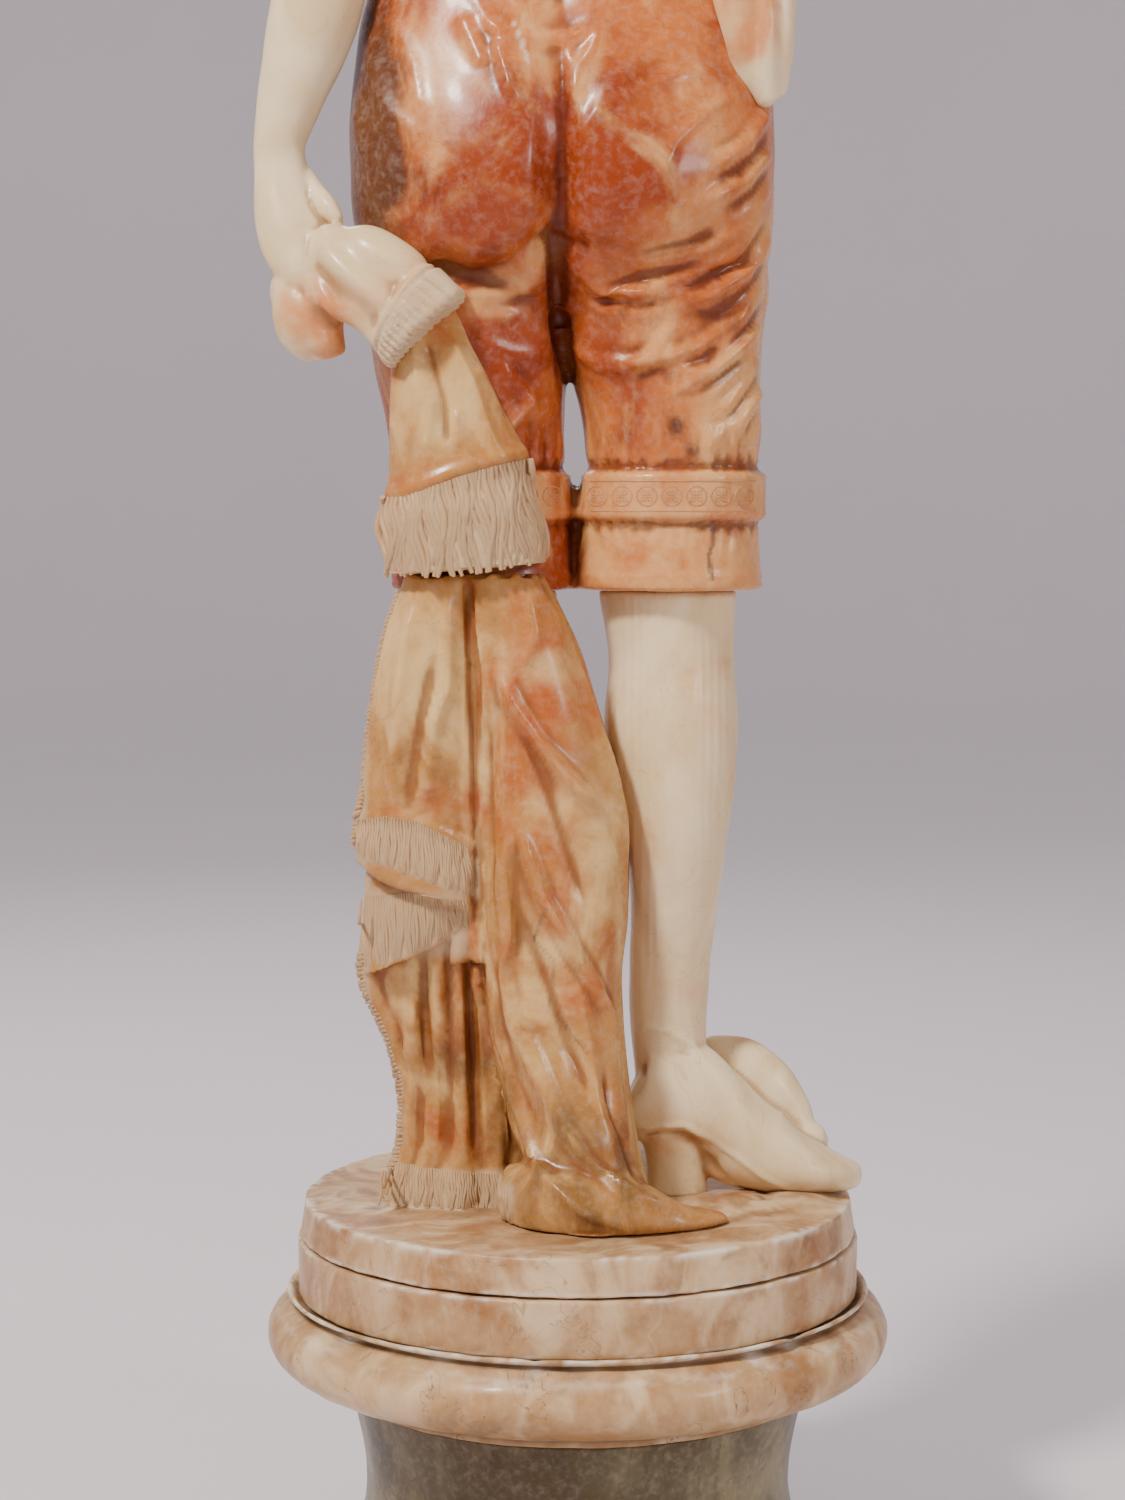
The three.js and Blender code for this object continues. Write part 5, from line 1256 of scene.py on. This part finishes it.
# Profiles as radius and height above the floor, each a seam above the piece below.
SOCLE_TOP, CAP_TOP, DISC_TOP, SLAB_TOP = 108, 153.8, 181.6, 200.6
socle = [(0, 0), (129, 0), (131, 0.6), (132, 2)]
socle += [(124 + 8 * math.cos(a), 14 + 8 * math.sin(a)) for a in np.linspace(0, math.pi / 2, 12)]
socle += [(98 + 20 * (1 - t) ** 4 + 14 * t**1.6, 22 + (SOCLE_TOP - 22) * t) for t in np.linspace(0, 1, 60)]
foot = SOCLE_TOP + SEAM
cap = [(0, foot), (117, foot), (117, foot + 3.7), (117, foot + 7.5)]
cap += [(121.5 + 30 * math.cos(a) ** 0.8, 134.8 + 19 * math.sin(a))
        for a in (np.linspace(0.35, 6.35, 50) / 7.4 - 0.5) * math.pi]
cap += [(142, 154.6), (141.3, 155.8), (140.3, 156.3), (138.5, 155), (137.5, CAP_TOP), (0, CAP_TOP)]
foot = CAP_TOP + SEAM
disc = [(0, foot), (134.9, foot), (136.2, foot + 0.5), (136.5, foot + 1.6)]
disc += [(136.5, z) for z in np.linspace(157, 179, 14)]
disc += [(136.5, 180), (136.2, DISC_TOP - 0.5), (134.9, DISC_TOP), (0, DISC_TOP)]
foot = DISC_TOP + SEAM
ground = [(0, foot), (133.9, foot), (135.1, foot + 0.5), (135.5, foot + 1.6)]
ground += [(135.5 - 2 * t, 184 + 14 * t) for t in np.linspace(0, 1, 12)]
ground += [(133.4, 199.2), (132.8, 200.2), (131.5, SLAB_TOP), (0, SLAB_TOP)]


def turned(name, node, profile, finish, slot, rough, seed, chips=(), tint=(0.35, 0.35, 0.22), rims=(), mounds=()):
    """A turned piece of the base with its chips, its worn rims and the low mounds left on its top.

    The tint says how warm, pale and dark its stone is.
    """
    profile = [(radius, height - GROUND) for radius, height in profile]
    wide = [profile[0]] + [(profile[1][0] * t, profile[1][1]) for t in np.linspace(0.1, 0.96, 12)] + profile[1:-1]
    wide += [(profile[-2][0] * t, profile[-1][1]) for t in np.linspace(0.97, 0.08, 30)] + [profile[-1]]
    block = Block(name + "_block", [lathe(wide[1:-1], 220)], None, 0)
    block.carve(lambda p, n: rough * (0.6 * ripple(p, 30, seed) + 0.4 * ripple(p, 11, seed + 1) - 1.0))
    q = block.points
    chipped = np.zeros(len(q))
    for cx, cy, cz, size, deep in chips:
        near = np.exp(-(((q[:, 0] - cx) ** 2 + (q[:, 1] - cy) ** 2 + (q[:, 2] - cz) ** 2) / size**2))
        chipped += near
        block.points -= block.normals() * (near * deep)[:, None]
    low, high = profile[0][1], profile[-1][1]
    for mx, my, wide, deep, tall in mounds:
        near = np.exp(-(((q[:, 0] - mx) / wide) ** 2 + ((q[:, 1] - my) / deep) ** 2))
        near *= ease(q[:, 2], high - 1.5, high - 0.8)
        block.points[:, 2] += tall * near * (1 - ease(np.hypot(q[:, 0], q[:, 1]), 118, 131))
    block.points[:, 2] = np.clip(block.points[:, 2], low, None)
    speckle = ease(ripple(q, 26, seed + 2) + 0.8 * ripple(q, 6, seed + 3), -0.3, 0.5)
    for radius, height, width in rims:
        near = np.hypot(np.hypot(q[:, 0], q[:, 1]) - radius, q[:, 2] - height)
        chipped = chipped + np.exp(-((near / width) ** 2)) * speckle
    kept_marks(block, *tint, worn=chipped * 0.8)
    block.set_down(name, finish, slot, node)


turned("socle_turned", "pedestal_socle", socle, SHAFT_STONE, "pedestal_alabaster", 0.25, 71)
turned("cap_turned", "pedestal_cap", cap, CAP_STONE, "pedestal_alabaster", 0.3, 73,
       [(-98, 100, -46, 5, 1.5), (-80, 116, -50, 4, 1), (60, 118, -48, 5, 1.5), (104, 86, -49, 6, 1.8),
        (20, 140, -47, 4, 1)], rims=[(141, -44.6, 3.5), (148, -52, 3)])
turned("disc_turned", "plinth_disc", disc, PLINTH_STONE, "plinth_alabaster", 0.3, 75,
       rims=[(136.4, -19.3, 1.6), (136.4, -45.6, 1.2)])
turned("ground_turned", "ground_slab", ground, PLINTH_STONE, "plinth_alabaster", 0.6, 77, tint=(0.45, 0.35, 0.3),
       rims=[(132.6, -0.4, 2.4), (135.4, -17.6, 1.4)], mounds=[(-96, 22, 34, 22, 5), (40, 20, 60, 30, 3)])

# Floor, light and camera.

backdrop = Finish("studio backdrop")
cloudy = backdrop.noise(0.6, 3, 0.5)
backdrop_paint = backdrop.done({"Base Color": backdrop.mixed(cloudy, colour(204, 196, 200), colour(212, 204, 206))},
                               {"Roughness": 0.85, "Emission Color": colour(178, 172, 178), "Emission Strength": 0.42})
sweep = [(0.02, 0.0), (1.0, 0.0), (3.0, 0.0), (6.0, 0.0)]
sweep += [(6.0 + 1.5 * math.sin(a), 1.5 - 1.5 * math.cos(a)) for a in np.linspace(0.1, math.pi / 2, 10)] + [(7.5, 6.0)]
turn = np.linspace(0, 2 * math.pi, 96, endpoint=False)
rings = np.array([[(r * math.cos(a), r * math.sin(a), z) for a in turn] for r, z in sweep])
floor_points, floor_faces = skin(rings)
floor_mesh = bpy.data.meshes.new("studio_floor")
floor_mesh.from_pydata(floor_points.tolist(), [], [face[::-1] for face in floor_faces[:-len(turn)]])
floor = bpy.data.objects.new("studio_floor", floor_mesh)
bpy.context.scene.collection.objects.link(floor)
floor_mesh.materials.append(backdrop_paint)
floor_mesh.polygons.foreach_set("use_smooth", [True] * len(floor_mesh.polygons))

world = bpy.data.worlds.new("studio")
world.use_nodes = True
world.node_tree.nodes["Background"].inputs["Color"].default_value = colour(196, 194, 200)
world.node_tree.nodes["Background"].inputs["Strength"].default_value = 0.26
bpy.context.scene.world = world


def lamp(name, place, aim, size, power, tint):
    """A round soft lamp turned towards a place."""
    light = bpy.data.lights.new(name, "AREA")
    light.shape, light.size, light.energy, light.color = "DISK", size, power, tint
    held = bpy.data.objects.new(name, light)
    held.location = place
    held.rotation_euler = (Vector(aim) - Vector(place)).to_track_quat("-Z", "Y").to_euler()
    bpy.context.scene.collection.objects.link(held)


lamp("key_light", (1.3, 1.6, 2.6), (0, 0, 0.5), 0.4, 114, (1.0, 0.95, 0.88))
lamp("fill_light", (-2.0, 1.7, 1.3), (0, 0, 0.5), 0.5, 22, (1.0, 0.97, 0.95))
lamp("back_light", (0.6, -1.8, 1.9), (0, 0, 0.7), 1.4, 22, (1.0, 0.98, 0.95))

camera = bpy.data.cameras.new("photograph view")
camera.sensor_fit, camera.sensor_height, camera.lens = "VERTICAL", 36, 73.44
eye = bpy.data.objects.new("photograph_view", camera)
eye.location = (EYE + [0, 0, GROUND]) / 1000
eye.rotation_euler = (math.radians(90 - 4.763), 0, math.pi)
bpy.context.scene.collection.objects.link(eye)
bpy.context.scene.camera = eye
